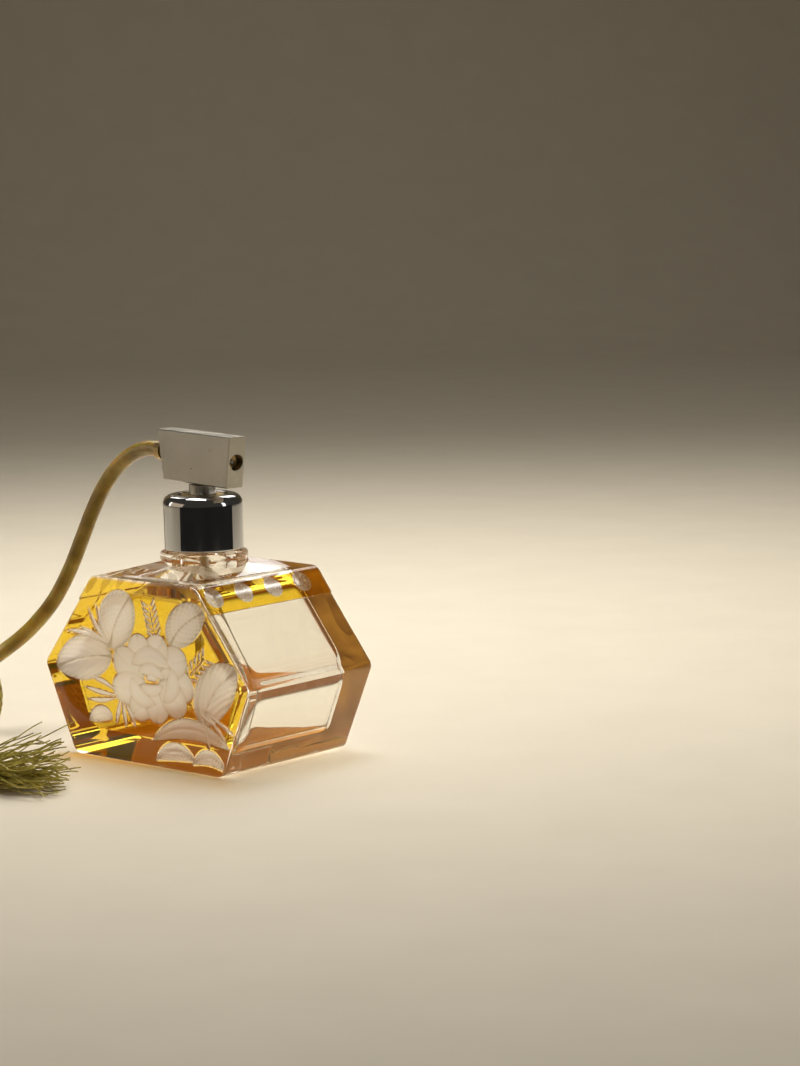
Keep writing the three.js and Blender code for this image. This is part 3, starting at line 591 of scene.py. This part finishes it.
# %% Screw cap
CAP_RADIUS, CAP_BOTTOM, CAP_TOP = 12.5, 64.6, 81.8
CAP_INSIDE = 79.8
CAP_HOLE = 4.6
CAP_BORE = 11.8
DISH = 80.9
SHOULDER = 3
CAP_SIDES = 128
cap_profile = np.concatenate([
    [[CAP_BORE, CAP_BOTTOM]], rounding((CAP_RADIUS - 0.3, CAP_BOTTOM + 0.3), 0.3, -90, 0, 4),
    [[CAP_RADIUS, CAP_BOTTOM + 0.5], [CAP_RADIUS, CAP_BOTTOM + 6], [CAP_RADIUS, CAP_TOP - SHOULDER - 0.4]],
    rounding((CAP_RADIUS - SHOULDER, CAP_TOP - SHOULDER), SHOULDER, 0, 90, 12),
    rounding((8.2, CAP_TOP - 0.4), 0.4, 90, 180, 4),
    [[7.4, DISH + 0.05], [6.8, DISH], [CAP_HOLE + 0.2, DISH], [CAP_HOLE, DISH - 0.2], [CAP_HOLE, CAP_INSIDE],
     [CAP_BORE - 0.4, CAP_INSIDE], [CAP_BORE, CAP_INSIDE - 0.4], [CAP_BORE, 72]]])
cap = piece("cap_shell", *lathe(cap_profile, CAP_SIDES), "cap", ["screw_cap"], "cap_chrome", 40)

# %% [markdown]
# ## The bulb
# A squeeze bulb of soft rubber, a smooth oval with a small neck at each end. A sphere could be stretched
# into it, but the real one has flat ends and a wall. It is turned about its own axis, with the inside as
# well as the outside, and then laid down along the line on which it rests.

# %% Bulb
BULB_START = np.array([-70.4, -44.5, 21.2])
BULB_TURN = math.radians(-52)
BULB_RADIUS, BULB_LENGTH, BULB_WALL = 20.0, 44.0, 1.6
NECK_R, TAIL_R = 3.6, 4.8
NECK_BORE_R, TAIL_BORE_R = 2.0, 3.5
BULB_NEAR, BELLY_NEAR, BULB_FAR = 3.3, 9.3, 54.8
BULB_SIDES = 96


def along_bulb(points):
    """Points made about Z from the origin, laid along the bulb's axis from its hose end."""
    flat = points[..., [2, 1, 0]] * np.array([1, 1, -1])
    c, s = math.cos(BULB_TURN), math.sin(BULB_TURN)
    x = c * flat[..., 0] - s * flat[..., 1]
    y = s * flat[..., 0] + c * flat[..., 1]
    return np.stack([x, y, flat[..., 2]], -1) + BULB_START


def belly_radius(share, offset=0.0, near=NECK_R, far=TAIL_R):
    """Radius at a share of the belly's length: end radius plus the swell times the root of one less the
    distance from the middle to the power 2.4."""
    from_middle = np.abs(2 * share - 1)
    end = np.where(share < 0.5, near, far)
    return end + (BULB_RADIUS + offset - end) * np.sqrt(np.clip(1 - from_middle ** 2.4, 0, 1))


share = 0.5 - 0.5 * np.cos(np.linspace(0, math.pi, 49))
along = BELLY_NEAR + share * BULB_LENGTH
outer = np.stack([belly_radius(share), along], 1)
inner = np.stack([belly_radius(share, -BULB_WALL, NECK_BORE_R, TAIL_BORE_R), along], 1)[::-1]
bulb_profile = np.concatenate([[[NECK_BORE_R, BULB_NEAR], [NECK_R, BULB_NEAR]], outer,
                               [[TAIL_R, BULB_FAR], [TAIL_BORE_R, BULB_FAR]], inner])
bulb_points, bulb_faces = lathe(bulb_profile, BULB_SIDES)
bulb = piece("bulb_rubber", along_bulb(bulb_points), bulb_faces, "spray_head", ["rubber_bulb"],
             "bulb_rubber")

# %% [markdown]
# The bulb wears a net of thin silk cord. A Wireframe modifier on the bulb would give flat square bars.
# Here two families of round threads climb the oval as opposite spirals, and each rises and dips where it
# meets the other family, so that they pass over and under as worked threads do.

# %% Net
NET_STRANDS = 26
NET_TURN = 2.6
THREAD_LIFT, THREAD_WEAVE, NET_THREAD = 0.55, 0.16, 0.33
strand_share = np.linspace(0.015, 0.985, 64)
strand_z = BELLY_NEAR + strand_share * BULB_LENGTH
start_angle = np.arange(NET_STRANDS)[:, None] * 2 * math.pi / NET_STRANDS
paths = []
for hand in (-1, 1):
    angle = start_angle + hand * strand_share * NET_TURN
    lift = THREAD_LIFT + THREAD_WEAVE * np.cos(NET_STRANDS * hand * angle) * hand
    radius = belly_radius(strand_share) + lift
    paths.append(np.stack([radius * np.cos(angle), radius * np.sin(angle),
                           np.broadcast_to(strand_z, angle.shape)], -1))
net_paths = along_bulb(np.concatenate(paths))
net = piece("bulb_net", *tubes(net_paths, NET_THREAD, 6, (0.3, 0.35, 0.88)), "spray_head", ["net_cover"],
            "silk_thread")

# %% [markdown]
# ## Wound threads and the tassel
# The bulb's neck is bound with thread. It could be a ribbed sleeve with bump, but the ends of the real
# winding stand up from the rubber, so a thread is wound as a tight spiral.

# %% Binding
BINDING_LIFT, BINDING_THREAD, BINDING_TURNS = 0.72, 0.42, 6


def wound(radius, low, high, turns, steps=18):
    """A thread wound as a tight spiral about Z: (r cos a, r sin a, height), with the height in step with the
    angle a. The radius r is a rule of the share of the height."""
    angle = np.linspace(0, 2 * math.pi * turns, steps * turns + 1)
    height = np.linspace(low, high, len(angle))
    r = radius(np.linspace(0, 1, len(angle)))
    return np.stack([r * np.cos(angle), r * np.sin(angle), height], -1)[None]


AXIS = along_bulb(np.array([0, 0, 1.0])) - BULB_START
binding_path = along_bulb(wound(lambda t: NECK_R + BINDING_LIFT + 0 * t, BULB_NEAR + 1.0, BELLY_NEAR - 1.8,
                                BINDING_TURNS))
binding = piece("binding_thread", *tubes(binding_path, BINDING_THREAD, 6, AXIS), "spray_head",
                ["neck_binding"], "silk_thread")

# %% [markdown]
# The tassel hangs from the eye of the tail valve on a cord of two twisted threads. The cord falls to the
# table and doubles back to the tassel's head. One smooth path gives its route, and the two threads circle
# that path half a turn apart, which is how a real cord is laid.

# %% Tassel cord
PLY_OFFSET, PLY_RADIUS, PLY_TURNS = 0.42, 0.44, 9
TASSEL_CORD = np.array([[-33.0, -92.6, 18.3], [-32.9, -95.4, 14.0], [-34.4, -97.3, 9.4], [-36.4, -96.6, 6.2],
                        [-36.3, -93.6, 4.8], [-35.0, -91.0, 4.6]])
cord_line = smooth_path(TASSEL_CORD, 12)
ahead = unit(np.gradient(cord_line, axis=0))
across = unit(np.cross(ahead, (0.9, 0.3, 0.1)))
up = np.cross(across, ahead)
twist = np.linspace(0, PLY_TURNS * 2 * math.pi, len(cord_line))[:, None]
plies = np.stack([cord_line + PLY_OFFSET * (np.cos(twist + half) * across + np.sin(twist + half) * up)
                  for half in (0, math.pi)])
tassel_cord = piece("tassel_twist", *tubes(plies, PLY_RADIUS, 7, (0.9, 0.3, 0.1)), "bulb_tail",
                    ["tassel_cord"], "silk_thread")

# %% [markdown]
# The tassel's head is a small solid core wound closely with thread, thickest in its middle. It is made about
# its own axis and then laid on the table, pointing the way the fringe lies.

# %% Tassel head
TASSEL_TURN = math.radians(36)
HEAD_LENGTH = 8.0
HEAD_RADIUS, HEAD_END_SHARE = 3.5, 0.52
HEAD_TURNS, HEAD_THREAD = 15, 0.36


def along_tassel(points):
    """Points with x along the tassel, y across it and z up from the tassel's own middle."""
    c, s = math.cos(TASSEL_TURN), math.sin(TASSEL_TURN)
    x = c * points[..., 0] - s * points[..., 1]
    y = s * points[..., 0] + c * points[..., 1]
    return np.stack([x, y, points[..., 2]], -1) + TASSEL_CORD[-1]


def head_radius(t):
    """Radius at a share of the head's length: an end share of the full radius, and the rest as a sine."""
    return HEAD_RADIUS * (HEAD_END_SHARE + (1 - HEAD_END_SHARE) * np.sin(math.pi * (0.1 + 0.8 * t)))


head_path = wound(head_radius, 0.7, HEAD_LENGTH - 0.4, HEAD_TURNS)[..., [2, 1, 0]]
core_share = np.linspace(0, 1, 14)
core_profile = np.stack([head_radius(core_share), np.linspace(0.5, HEAD_LENGTH - 0.2, 14)], 1)
core_points, core_faces = lathe(core_profile, 24, False)
head_points, head_faces = gather([(core_points[:, [2, 1, 0]], core_faces),
                                  tubes(head_path, HEAD_THREAD, 6, (1, 0, 0))])
tassel_head = piece("tassel_knot", along_tassel(head_points), head_faces, "bulb_tail", ["tassel_head"],
                    "silk_thread")

# %% [markdown]
# The fringe is a bundle of loose silk threads that have slid apart on the table. Hair particles would make
# many more, but they can't be saved as closed meshes. Each thread is its own thin tube with five sides,
# and a numbered random generator gives the same bundle every time.

# %% Fringe
THREADS = 150
THREAD_RADIUS = 0.20
FRINGE_LENGTH = 41.0
STRAY_SHARE = 0.3
FLOOR_GAP = 0.62
random = np.random.default_rng(7)


def fringe_paths():
    """Threads that leave the head together, spread and sag to the table. Each has its own length, its own
    side to bend to and a slow wave, and some stand off the bundle. Heights pass through the logarithm of one
    plus an exponential, which levels them off smoothly just above the table."""
    t = np.linspace(0, 1, 22)
    angle = random.uniform(0, 2 * math.pi, THREADS)[:, None]
    out = np.sqrt(random.uniform(0, 1, THREADS))[:, None]
    length = FRINGE_LENGTH * random.uniform(0.62, 1.0, THREADS)[:, None]
    spread = random.normal(0, 1, THREADS)[:, None]
    stray = np.where(random.uniform(0, 1, THREADS) < STRAY_SHARE, random.uniform(3, 13, THREADS), 0)[:, None]
    x = HEAD_LENGTH - 0.6 + length * t
    swell = np.sin(math.pi * np.clip(0.16 + 0.62 * t, 0, 1))
    reach, turns, start = (random.uniform(low, high, THREADS)[:, None]
                           for low, high in ((0.3, 1.0), (0.8, 2.4), (0, 6)))
    wave = reach * np.sin(2 * math.pi * t * turns + start)
    y = out * np.cos(angle) * (1.6 + 3.6 * swell) + spread * 7.5 * t ** 1.4 + wave * t * 3.2
    rise = out * np.sin(angle) * (1.5 + 1.5 * swell) + stray * t ** 1.3
    z = rise + (0.2 - 1.2 * t) * 1.6 + wave * t * 1.2
    floor = FLOOR_GAP - TASSEL_CORD[-1][2]
    z = floor + np.logaddexp(0, (z - floor) * 1.6) / 1.6
    return np.stack([x, y, z], -1)


fringe = piece("tassel_threads", *tubes(along_tassel(fringe_paths()), THREAD_RADIUS, 5, (0.12, 0.2, 0.97)),
               "bulb_tail", ["tassel_fringe"], "silk_thread")

# %% [markdown]
# ## The bulb's own meshes
# When the bulb is pressed, its tail comes nearer and the rubber and net shorten with it. Here the bulb
# and the net only get copies of their meshes as their own.

# %% Own meshes for the bulb and net
for soft in (bulb, net):
    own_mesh(soft)

nodes = frame["nodes"]

# %% [markdown]
# ## Finishes
# Each finish is built from nodes on object coordinates, so it stays fixed to its piece. Nodes can be
# placed by hand in the Shader Editor. In code, a small helper adds a node, sets its values and makes its
# links, so that every finish reads as a short list.

# %% Node helpers
def material(name):
    """An empty node material and a function that adds nodes to it."""
    made = bpy.data.materials.new(name)
    made.use_nodes = True
    tree = made.node_tree
    tree.nodes.clear()

    def add(kind, inputs=None, **settings):
        """One node: settings are its properties, inputs are values or sockets to link."""
        new = tree.nodes.new(kind)
        for key, value in settings.items():
            setattr(new, key, value)
        for key, value in (inputs or {}).items():
            socket = new.inputs[key]
            if isinstance(value, bpy.types.NodeSocket):
                tree.links.new(value, socket)
            else:
                socket.default_value = value
        return new
    return made, add


def surface(made, add, shader):
    """Links a shader to the material's output and gives the material back."""
    add("ShaderNodeOutputMaterial", {"Surface": shader.outputs[0]})
    print(f"{made.name}: {len(made.node_tree.nodes)} nodes")
    return made


def ramp(add, factor, stops):
    """Colour ramp with (place, colour) stops."""
    made = add("ShaderNodeValToRGB", {"Fac": factor})
    made.color_ramp.elements[0].position, made.color_ramp.elements[1].position = stops[0][0], stops[-1][0]
    made.color_ramp.elements[0].color = (*stops[0][1], 1)
    made.color_ramp.elements[1].color = (*stops[-1][1], 1)
    for place, colour in stops[1:-1]:
        made.color_ramp.elements.new(place).color = (*colour, 1)
    return made.outputs["Color"]


def sums(add, operation, a, b=0.0, clamp=False):
    """One arithmetic node on two numbers or sockets."""
    return add("ShaderNodeMath", {0: a, 1: b}, operation=operation, use_clamp=clamp).outputs[0]


# %% [markdown]
# Wear, grain and mottling all come from noise. Three more helpers give noise on the piece's own coordinates,
# spread a value between two numbers, and turn a value into fine bump.

# %% Noise, spread and bump
def noise(add, scale, detail=4.0, stretch=(1, 1, 1), distortion=0.0):
    """Noise on the piece's own coordinates, stretched along its axes."""
    place = add("ShaderNodeTexCoord").outputs["Object"]
    mapped = add("ShaderNodeMapping", {"Vector": place, "Scale": stretch}).outputs[0]
    return add("ShaderNodeTexNoise", {"Vector": mapped, "Scale": scale, "Detail": detail,
                                      "Distortion": distortion}).outputs["Fac"]


def between(add, value, low, high, start=0.3, end=0.7):
    """A value's way from start to end, spread evenly between low and high."""
    return add("ShaderNodeMapRange", {"Value": value, "From Min": start, "From Max": end, "To Min": low,
                                      "To Max": high}).outputs[0]


def relief(add, height, distance, strength):
    """Bump from a height."""
    return add("ShaderNodeBump", {"Height": height, "Distance": distance, "Strength": strength}).outputs[0]


# %% [markdown]
# ### Stained glass
# Silver stain colours the skin of the glass yellow. The wheel cuts through it and leaves the grey-white of
# ground glass, which scatters light. Two materials could be set face by face, but their border would be
# jagged. Here one material reads the stain and cut shares of the surface, and they choose the tint, the
# roughness and how much light goes straight through. The depth of cut paints shade on the ground glass:
# darker grey where the cut is shallow, on rims and veins, and white in the deep middles. First come the
# colours and the row of ground dots on the slanted side, which is worked out from the place along the
# bottle: how far a point lies from the nearest dot's centre.

# %% Glass colours and dots
STAIN = (0.95, 0.50, 0.004)
STAIN_THIN, STAIN_THICK = (0.97, 0.58, 0.01), (0.92, 0.42, 0.002)
CLEAR = (0.985, 0.972, 0.93)
# GROUND is the ground glass where the cut is deep; the two colours below are painted shade for shallower
# cuts, rims and veins.
GROUND = (0.97, 0.95, 0.90)
GROUND_HALF_SHADE = (0.88, 0.83, 0.72)
GROUND_PAINTED_SHADE = (0.46, 0.40, 0.28)
DOT_PITCH, DOT_RADIUS, DOT_SHIFT = 0.013, 0.0036, 0.022
DOT_HEIGHT, DOT_SLANT = 0.0539, 1.26
DOT_SHARPNESS, DOT_FROST = 6000.0, 0.75
SIDE_REACH = 0.0266


def band_dots(add):
    """One inside a dot and none outside: the root of the squared ways along and down the slanted side from
    the nearest dot's centre, compared with the dot's radius. The ends of the bottle are left out."""
    xyz = add("ShaderNodeSeparateXYZ", {"Vector": add("ShaderNodeTexCoord").outputs["Object"]})
    along = sums(add, "ADD", xyz.outputs["Y"], DOT_SHIFT)
    from_centre = sums(add, "PINGPONG", sums(add, "ADD", along, 2 * DOT_PITCH), DOT_PITCH / 2)
    drop = sums(add, "MULTIPLY", sums(add, "SUBTRACT", xyz.outputs["Z"], DOT_HEIGHT), DOT_SLANT)
    distance = sums(add, "SQRT", sums(add, "ADD", sums(add, "MULTIPLY", from_centre, from_centre),
                                      sums(add, "MULTIPLY", drop, drop)))
    dot = sums(add, "MULTIPLY", sums(add, "SUBTRACT", DOT_RADIUS, distance), DOT_SHARPNESS, True)
    on_side = sums(add, "GREATER_THAN", SIDE_REACH, sums(add, "ABSOLUTE", xyz.outputs["Y"]))
    return sums(add, "MULTIPLY", dot, on_side)


# %% [markdown]
# Then the glass itself. Light that only passes on its way to the table is let through tinted, since clear
# glass casts hardly any shadow, and a renderer that follows light backwards finds that slowly. Light that
# is still running back inside the glass after several bounces would end in black. A dim amber stands for
# it.

# %% Glass finish
GROUND_SHARE = 0.34
GROUND_ROUGH = (0.34, 0.46)
POLISHED = 0.01
GLASS_IOR = 1.52
SHADOW_PASS = 0.92
# Painted glow: the glass gives off this dim amber wherever a ray has bounced more than DEEPEST times inside
# it.
DEEP_DARK = (0.10, 0.032, 0.008)
DEEP_AMBER = (0.38, 0.165, 0.025)
DEEPEST = 5.5


def glass_finish():
    """Clear, stained and ground glass in one: every value is mixed by the stain, cut and dot shares, and the
    ground glass has painted shade from the depth of cut.
    """
    made, add = material("glass_stained")
    cut, stain, bowl = (add("ShaderNodeAttribute", attribute_name=name).outputs["Fac"]
                        for name in ("cut", "stain", "bowl"))
    dot = band_dots(add)
    cloud, grain = noise(add, 45.0, 5.0), noise(add, 900.0, 2.0)
    tint = ramp(add, cloud, [(0.3, STAIN_THICK), (0.55, STAIN), (0.75, STAIN_THIN)])
    # Painted shade: the ground glass goes from dark grey to white as the cut deepens, so the carved form
    # shows as shading.
    shaded_ground_tone = ramp(add, between(add, bowl, 0.0, 1.0, 0.35, 0.95),
                       [(0.0, GROUND_PAINTED_SHADE), (0.45, GROUND_HALF_SHADE), (1.0, GROUND)])
    clear = add("ShaderNodeMix", {"Factor": cut, "A": (*CLEAR, 1), "B": shaded_ground_tone}, data_type="RGBA")
    unground = sums(add, "SUBTRACT", 1.0, sums(add, "MAXIMUM", cut, dot))
    colour = add("ShaderNodeMix", {"Factor": sums(add, "MULTIPLY", stain, unground), "B": tint,
                                   "A": clear.outputs["Result"]}, data_type="RGBA").outputs["Result"]
    frost = sums(add, "MAXIMUM", cut, sums(add, "MULTIPLY", dot, DOT_FROST))
    rough = add("ShaderNodeMix", {"Factor": frost, "A": POLISHED, "B": between(add, grain, *GROUND_ROUGH)})
    fine = relief(add, sums(add, "MULTIPLY", grain, frost), 0.00002, 0.5)
    skin = add("ShaderNodeBsdfPrincipled", {"Base Color": colour, "Roughness": rough.outputs[0],
                                            "IOR": GLASS_IOR, "Transmission Weight": 1.0, "Normal": fine})
    scatter = add("ShaderNodeBsdfTranslucent", {"Color": shaded_ground_tone, "Normal": fine})
    glass = add("ShaderNodeMixShader", {0: sums(add, "MULTIPLY", frost, GROUND_SHARE), 1: skin.outputs[0],
                                        2: scatter.outputs[0]})
    passing = add("ShaderNodeBsdfTransparent", {"Color": colour})
    path = add("ShaderNodeLightPath")
    lit = add("ShaderNodeMixShader", {0: sums(add, "MULTIPLY", path.outputs["Is Shadow Ray"], SHADOW_PASS),
                                      1: glass.outputs[0], 2: passing.outputs[0]})
    painted_glow = add("ShaderNodeEmission", {"Color": ramp(add, cloud, [(0.35, DEEP_DARK), (0.65, DEEP_AMBER)])})
    return surface(made, add, add("ShaderNodeMixShader", {
        0: sums(add, "GREATER_THAN", path.outputs["Ray Depth"], DEEPEST), 1: lit.outputs[0],
        2: painted_glow.outputs[0]}))


# %% [markdown]
# ### Metals
# The cap is polished chrome with faint wiping marks. The head is satin nickel with a slight grain along it
# and some dull patches. The fittings are brass. A picture of scratches would need a flat layout of every
# part. Stretched noise gives the grain from the part's own coordinates instead.

# %% Metal finishes
def metal_finish(name, stops, rough, scale, stretch, bump):
    """Metal whose colour drifts with slow noise, and whose roughness and bump follow one stretched noise."""
    made, add = material(name)
    streak = noise(add, scale, 6.0, stretch, 0.3)
    colour = ramp(add, noise(add, 60.0, 3.0), stops)
    return surface(made, add, add("ShaderNodeBsdfPrincipled", {
        "Base Color": colour, "Metallic": 1.0, "Roughness": between(add, streak, *rough),
        "Normal": relief(add, streak, bump, 0.4)}))


# %% [markdown]
# ### Rubber, thread, cork and cement
# Old rubber is not quite opaque: light goes a few millimetres into it and comes out amber, which
# Subsurface does. The bulb's rubber, the silk, the cork and the cement are dull, so they share one finish
# with their own colours and bump. A sheen stands for the fine fibres on the silk, which are too many to
# model.

# %% Rubber, thread, cork and cement
def hose_finish():
    """Old amber rubber: mottled by noise, with fine cracks as bump, and lit a little from inside."""
    made, add = material("hose_amber")
    colour = ramp(add, noise(add, 120.0, 4.0), [(0.3, (0.22, 0.145, 0.018)), (0.55, (0.40, 0.29, 0.045)),
                                                (0.75, (0.58, 0.45, 0.11))])
    normal = relief(add, noise(add, 1400.0, 3.0), 0.00005, 0.5)
    return surface(made, add, add("ShaderNodeBsdfPrincipled", {
        "Base Color": colour, "Roughness": 0.3, "IOR": 1.5, "Subsurface Weight": 0.9,
        "Subsurface Scale": 0.005, "Subsurface Radius": (1.0, 0.5, 0.1), "Normal": normal,
        "Coat Weight": 0.15, "Coat Roughness": 0.25}))


def soft_finish(name, stops, rough, scale, bump, sheen=0.0):
    """A dull surface: mottled colour, fine bump and, on thread, a soft sheen."""
    made, add = material(name)
    colour = ramp(add, noise(add, scale, 4.0), stops)
    normal = relief(add, noise(add, scale * 9, 3.0), bump, 0.6)
    return surface(made, add, add("ShaderNodeBsdfPrincipled", {
        "Base Color": colour, "Roughness": rough, "Sheen Weight": sheen, "Sheen Roughness": 0.4,
        "Normal": normal}))


# %% [markdown]
# Each finish now gets its own numbers. The frame's parts know which finish they are made of by the name of
# their slot, so one loop gives all of them their material, and a second does it for the new pieces.

# %% All finishes, and who wears them
FINISHES = {
    "stained_glass": glass_finish(),
    "cap_chrome": metal_finish("chrome_cap", [(0.3, (0.60, 0.60, 0.61)), (0.7, (0.68, 0.68, 0.68))],
                               (0.03, 0.07), 300.0, (1, 1, 0.2), 0.000004),
    "head_nickel": metal_finish("nickel_satin", [(0.3, (0.40, 0.37, 0.31)), (0.7, (0.48, 0.45, 0.385))],
                                (0.26, 0.4), 500.0, (0.3, 1, 1), 0.00002),
    "tube_nickel": metal_finish("nickel_drawn", [(0.3, (0.50, 0.47, 0.40)), (0.7, (0.60, 0.56, 0.48))],
                                (0.22, 0.34), 400.0, (1, 1, 0.1), 0.00001),
    "fitting_brass": metal_finish("brass_aged", [(0.3, (0.30, 0.20, 0.08)), (0.7, (0.50, 0.35, 0.15))],
                                  (0.25, 0.45), 500.0, (1, 1, 1), 0.00002),
    "hose_rubber": hose_finish(),
    "bulb_rubber": soft_finish("rubber_dark", [(0.3, (0.045, 0.03, 0.02)), (0.7, (0.09, 0.065, 0.04))], 0.6,
                               150.0, 0.00005),
    "silk_thread": soft_finish("silk_olive", [(0.3, (0.22, 0.175, 0.016)), (0.5, (0.45, 0.37, 0.045)),
                                              (0.72, (0.70, 0.59, 0.13))], 0.55, 260.0, 0.00006, 0.4),
    "cork_seal": soft_finish("cork", [(0.3, (0.30, 0.17, 0.08)), (0.7, (0.52, 0.34, 0.18))], 0.85,
                             300.0, 0.0001),
    "neck_cement": soft_finish("plaster", [(0.3, (0.62, 0.58, 0.5)), (0.7, (0.78, 0.74, 0.66))], 0.9,
                               200.0, 0.0001),
}
SLOT_OF = {row["node"]: row["material_slot"] for row in frame["record"]["subparts"]}
for name, thing in nodes.items():
    thing.data.materials.clear()
    thing.data.materials.append(FINISHES[SLOT_OF[name]])
for thing, finish in [(bottle, "stained_glass"), (cap, "cap_chrome"), (hose, "hose_rubber"),
                      (bulb, "bulb_rubber"), (net, "silk_thread"), (binding, "silk_thread"),
                      (tassel_cord, "silk_thread"), (tassel_head, "silk_thread"), (fringe, "silk_thread")]:
    thing.data.materials.append(FINISHES[finish])
print(f"{len(FINISHES)} finishes on {len(nodes)} frame parts and 9 new pieces")

# %% [markdown]
# ## The table and the light
# A pale sheet of paper runs from the table up behind the bottle in one bend, as in a studio. A floor and a
# wall would show a hard line where they meet. The light falls on the sheet's lower part, so the glass is lit
# from behind, which is what makes stained glass glow.

# %% Sweep
LOOK = np.array([-0.6618, 0.7497])
SIDEWAYS = np.array([0.7497, 0.6618])
FLOOR_START, BEND_START, BEND_RADIUS, WALL_TOP, HALF_WIDTH = -1.6, 1.5, 0.7, 1.6, 2.2
UNDER_TABLE = 0.0002


def strip(name, points, order):
    """An open band of faces between pairs of points, each face joining one pair to the next."""
    k = np.arange(len(points) // 2 - 1)[:, None] * 2
    mesh = bpy.data.meshes.new(name)
    mesh.from_pydata(points.tolist(), [], (k + np.array(order)).tolist())
    made = bpy.data.objects.new(name, mesh)
    bpy.context.collection.objects.link(made)
    return made


def sweep():
    """Floor, a quarter-round bend and a wall, carried sideways: points by distance along the floor."""
    flat = np.array([[FLOOR_START, 0.0], [BEND_START, 0.0]])
    curve = rounding((BEND_START, BEND_RADIUS), BEND_RADIUS, -90, 0, 25)
    line = np.concatenate([flat, curve[1:], [[BEND_START + BEND_RADIUS, WALL_TOP]]])
    ends = np.array([-HALF_WIDTH, HALF_WIDTH])
    ground = line[:, None, :1] * LOOK + ends[None, :, None] * SIDEWAYS
    height = np.broadcast_to(line[:, 1][:, None, None] - UNDER_TABLE, ground.shape[:2] + (1,))
    made = strip("sweep", np.concatenate([ground, height], 2).reshape(-1, 3), [0, 1, 3, 2])
    made.data.shade_smooth()
    return made


def sweep_finish():
    """Matt cream paper with a faint cloud in its colour."""
    made, add = material("paper")
    colour = ramp(add, noise(add, 30.0, 6.0), [(0.3, (0.79, 0.70, 0.545)), (0.7, (0.82, 0.73, 0.57))])
    return surface(made, add, add("ShaderNodeBsdfPrincipled", {"Base Color": colour, "Roughness": 0.8}))


floor = sweep()
floor.data.materials.append(sweep_finish())


# %% [markdown]
# Area lights are used throughout, because a wide light gives the soft edges that a small lamp can't. One
# makes the bright pool on the table behind the bottle, one shines through the glass, one lifts the far
# wall, and the boxes at the sides give the metal its long highlights.

# %% Lights
PAPER_WHITE = (1.0, 0.985, 0.96)
LIGHTS = [  # name, place, point that it faces, size, power in watts, colour
    ("pool_light", (*LOOK * 0.17, 0.57), (*LOOK * 0.17, 0.0), (0.30, 0.30), 3.35, PAPER_WHITE),
    ("back_panel", (*LOOK * 0.52, 0.50), (0, 0, 0.03), (0.6, 0.26), 1.25, (1.0, 0.985, 0.955)),
    ("far_light", (*LOOK * 1.35, 0.95), (*LOOK * 1.35, 0.0), (0.9, 0.6), 0.75, (1.0, 0.985, 0.955)),
    ("left_box", (-0.62, -0.30, 0.22), (0, 0, 0.08), (0.10, 0.34), 0.14, (1, 1, 1)),
    ("room_panel", (-0.95, -1.05, 0.42), (0, 0, 0.05), (1.5, 0.8), 1.9, (1.0, 0.80, 0.58)),
    ("right_box", (0.62, 0.22, 0.24), (0, 0, 0.08), (0.12, 0.40), 0.30, (1, 1, 1)),
]
for name, place, aim, size, power, colour in LIGHTS:
    light = bpy.data.objects.new(name, bpy.data.lights.new(name, "AREA"))
    light.data.shape = "RECTANGLE"
    light.data.size, light.data.size_y = size
    light.data.energy = power
    light.data.color = colour
    light.location = place
    light.rotation_mode = "QUATERNION"
    light.rotation_quaternion = (Vector(aim) - Vector(place)).to_track_quat("-Z", "Y")
    bpy.context.collection.objects.link(light)
print(f"{len(LIGHTS)} lights, {sum(row[4] for row in LIGHTS):.2f} W together")

# %% [markdown]
# Polished metal and thick glass show whatever stands around them. A low curved black card between the camera
# and the bottle gives the cap its dark middle. A dim amber screen round the table is what the glass shows
# where light runs back inside it. Each is seen by its own kind of ray only, never by the camera itself, so
# neither needs to be hidden or painted out.

# %% Cards round the table
CARD_RADIUS, SCREEN_RADIUS = 0.42, 1.25
FOOT = 0.001


def curved_card(name, radius, high, start, end):
    """A strip bent round the bottle: radius times (cosine, sine) of angles from the camera's side."""
    middle = math.atan2(-LOOK[1], -LOOK[0])
    angle = middle + np.radians(np.linspace(start, end, 61))
    foot = np.stack([radius * np.cos(angle), radius * np.sin(angle), FOOT + 0 * angle], 1)
    made = strip(name, np.stack([foot, foot + [0, 0, high - FOOT]], 1).reshape(-1, 3), [0, 2, 3, 1])
    made.visible_camera = made.visible_diffuse = made.visible_shadow = False
    made.visible_volume_scatter = False
    return made


def card_finish():
    """Matt black paper."""
    made, add = material("black_paper")
    colour = ramp(add, noise(add, 40.0), [(0.3, (0.006, 0.006, 0.007)), (0.7, (0.010, 0.010, 0.011))])
    return surface(made, add, add("ShaderNodeBsdfPrincipled", {"Base Color": colour, "Roughness": 0.9}))


def screen_finish():
    """A dim glow that drifts between two ambers."""
    made, add = material("amber_screen")
    colour = ramp(add, noise(add, 1.6, 3.0), [(0.35, (0.15, 0.042, 0.012)), (0.65, (0.42, 0.17, 0.03))])
    return surface(made, add, add("ShaderNodeEmission", {"Color": colour, "Strength": 1.0}))


card = curved_card("black_card", CARD_RADIUS, 0.07, -66, 96)
card.visible_transmission = False
card.data.materials.append(card_finish())
screen = curved_card("amber_screen", SCREEN_RADIUS, 0.9, -180, 180)
screen.visible_glossy = False
screen.data.materials.append(screen_finish())

# %% [markdown]
# A room is never quite dark, so a faint warm grey stands all round. A picture of a room could be wrapped
# round the scene, but a plain colour keeps the reflections quiet. The Standard view shows the colours as
# they are.

# %% Room
ROOM_GREY = (0.045, 0.041, 0.034, 1)
world = bpy.data.worlds.new("room")
bpy.context.scene.world = world
world.use_nodes = True
world.node_tree.nodes["Background"].inputs["Color"].default_value = ROOM_GREY
bpy.context.scene.view_settings.view_transform = "Standard"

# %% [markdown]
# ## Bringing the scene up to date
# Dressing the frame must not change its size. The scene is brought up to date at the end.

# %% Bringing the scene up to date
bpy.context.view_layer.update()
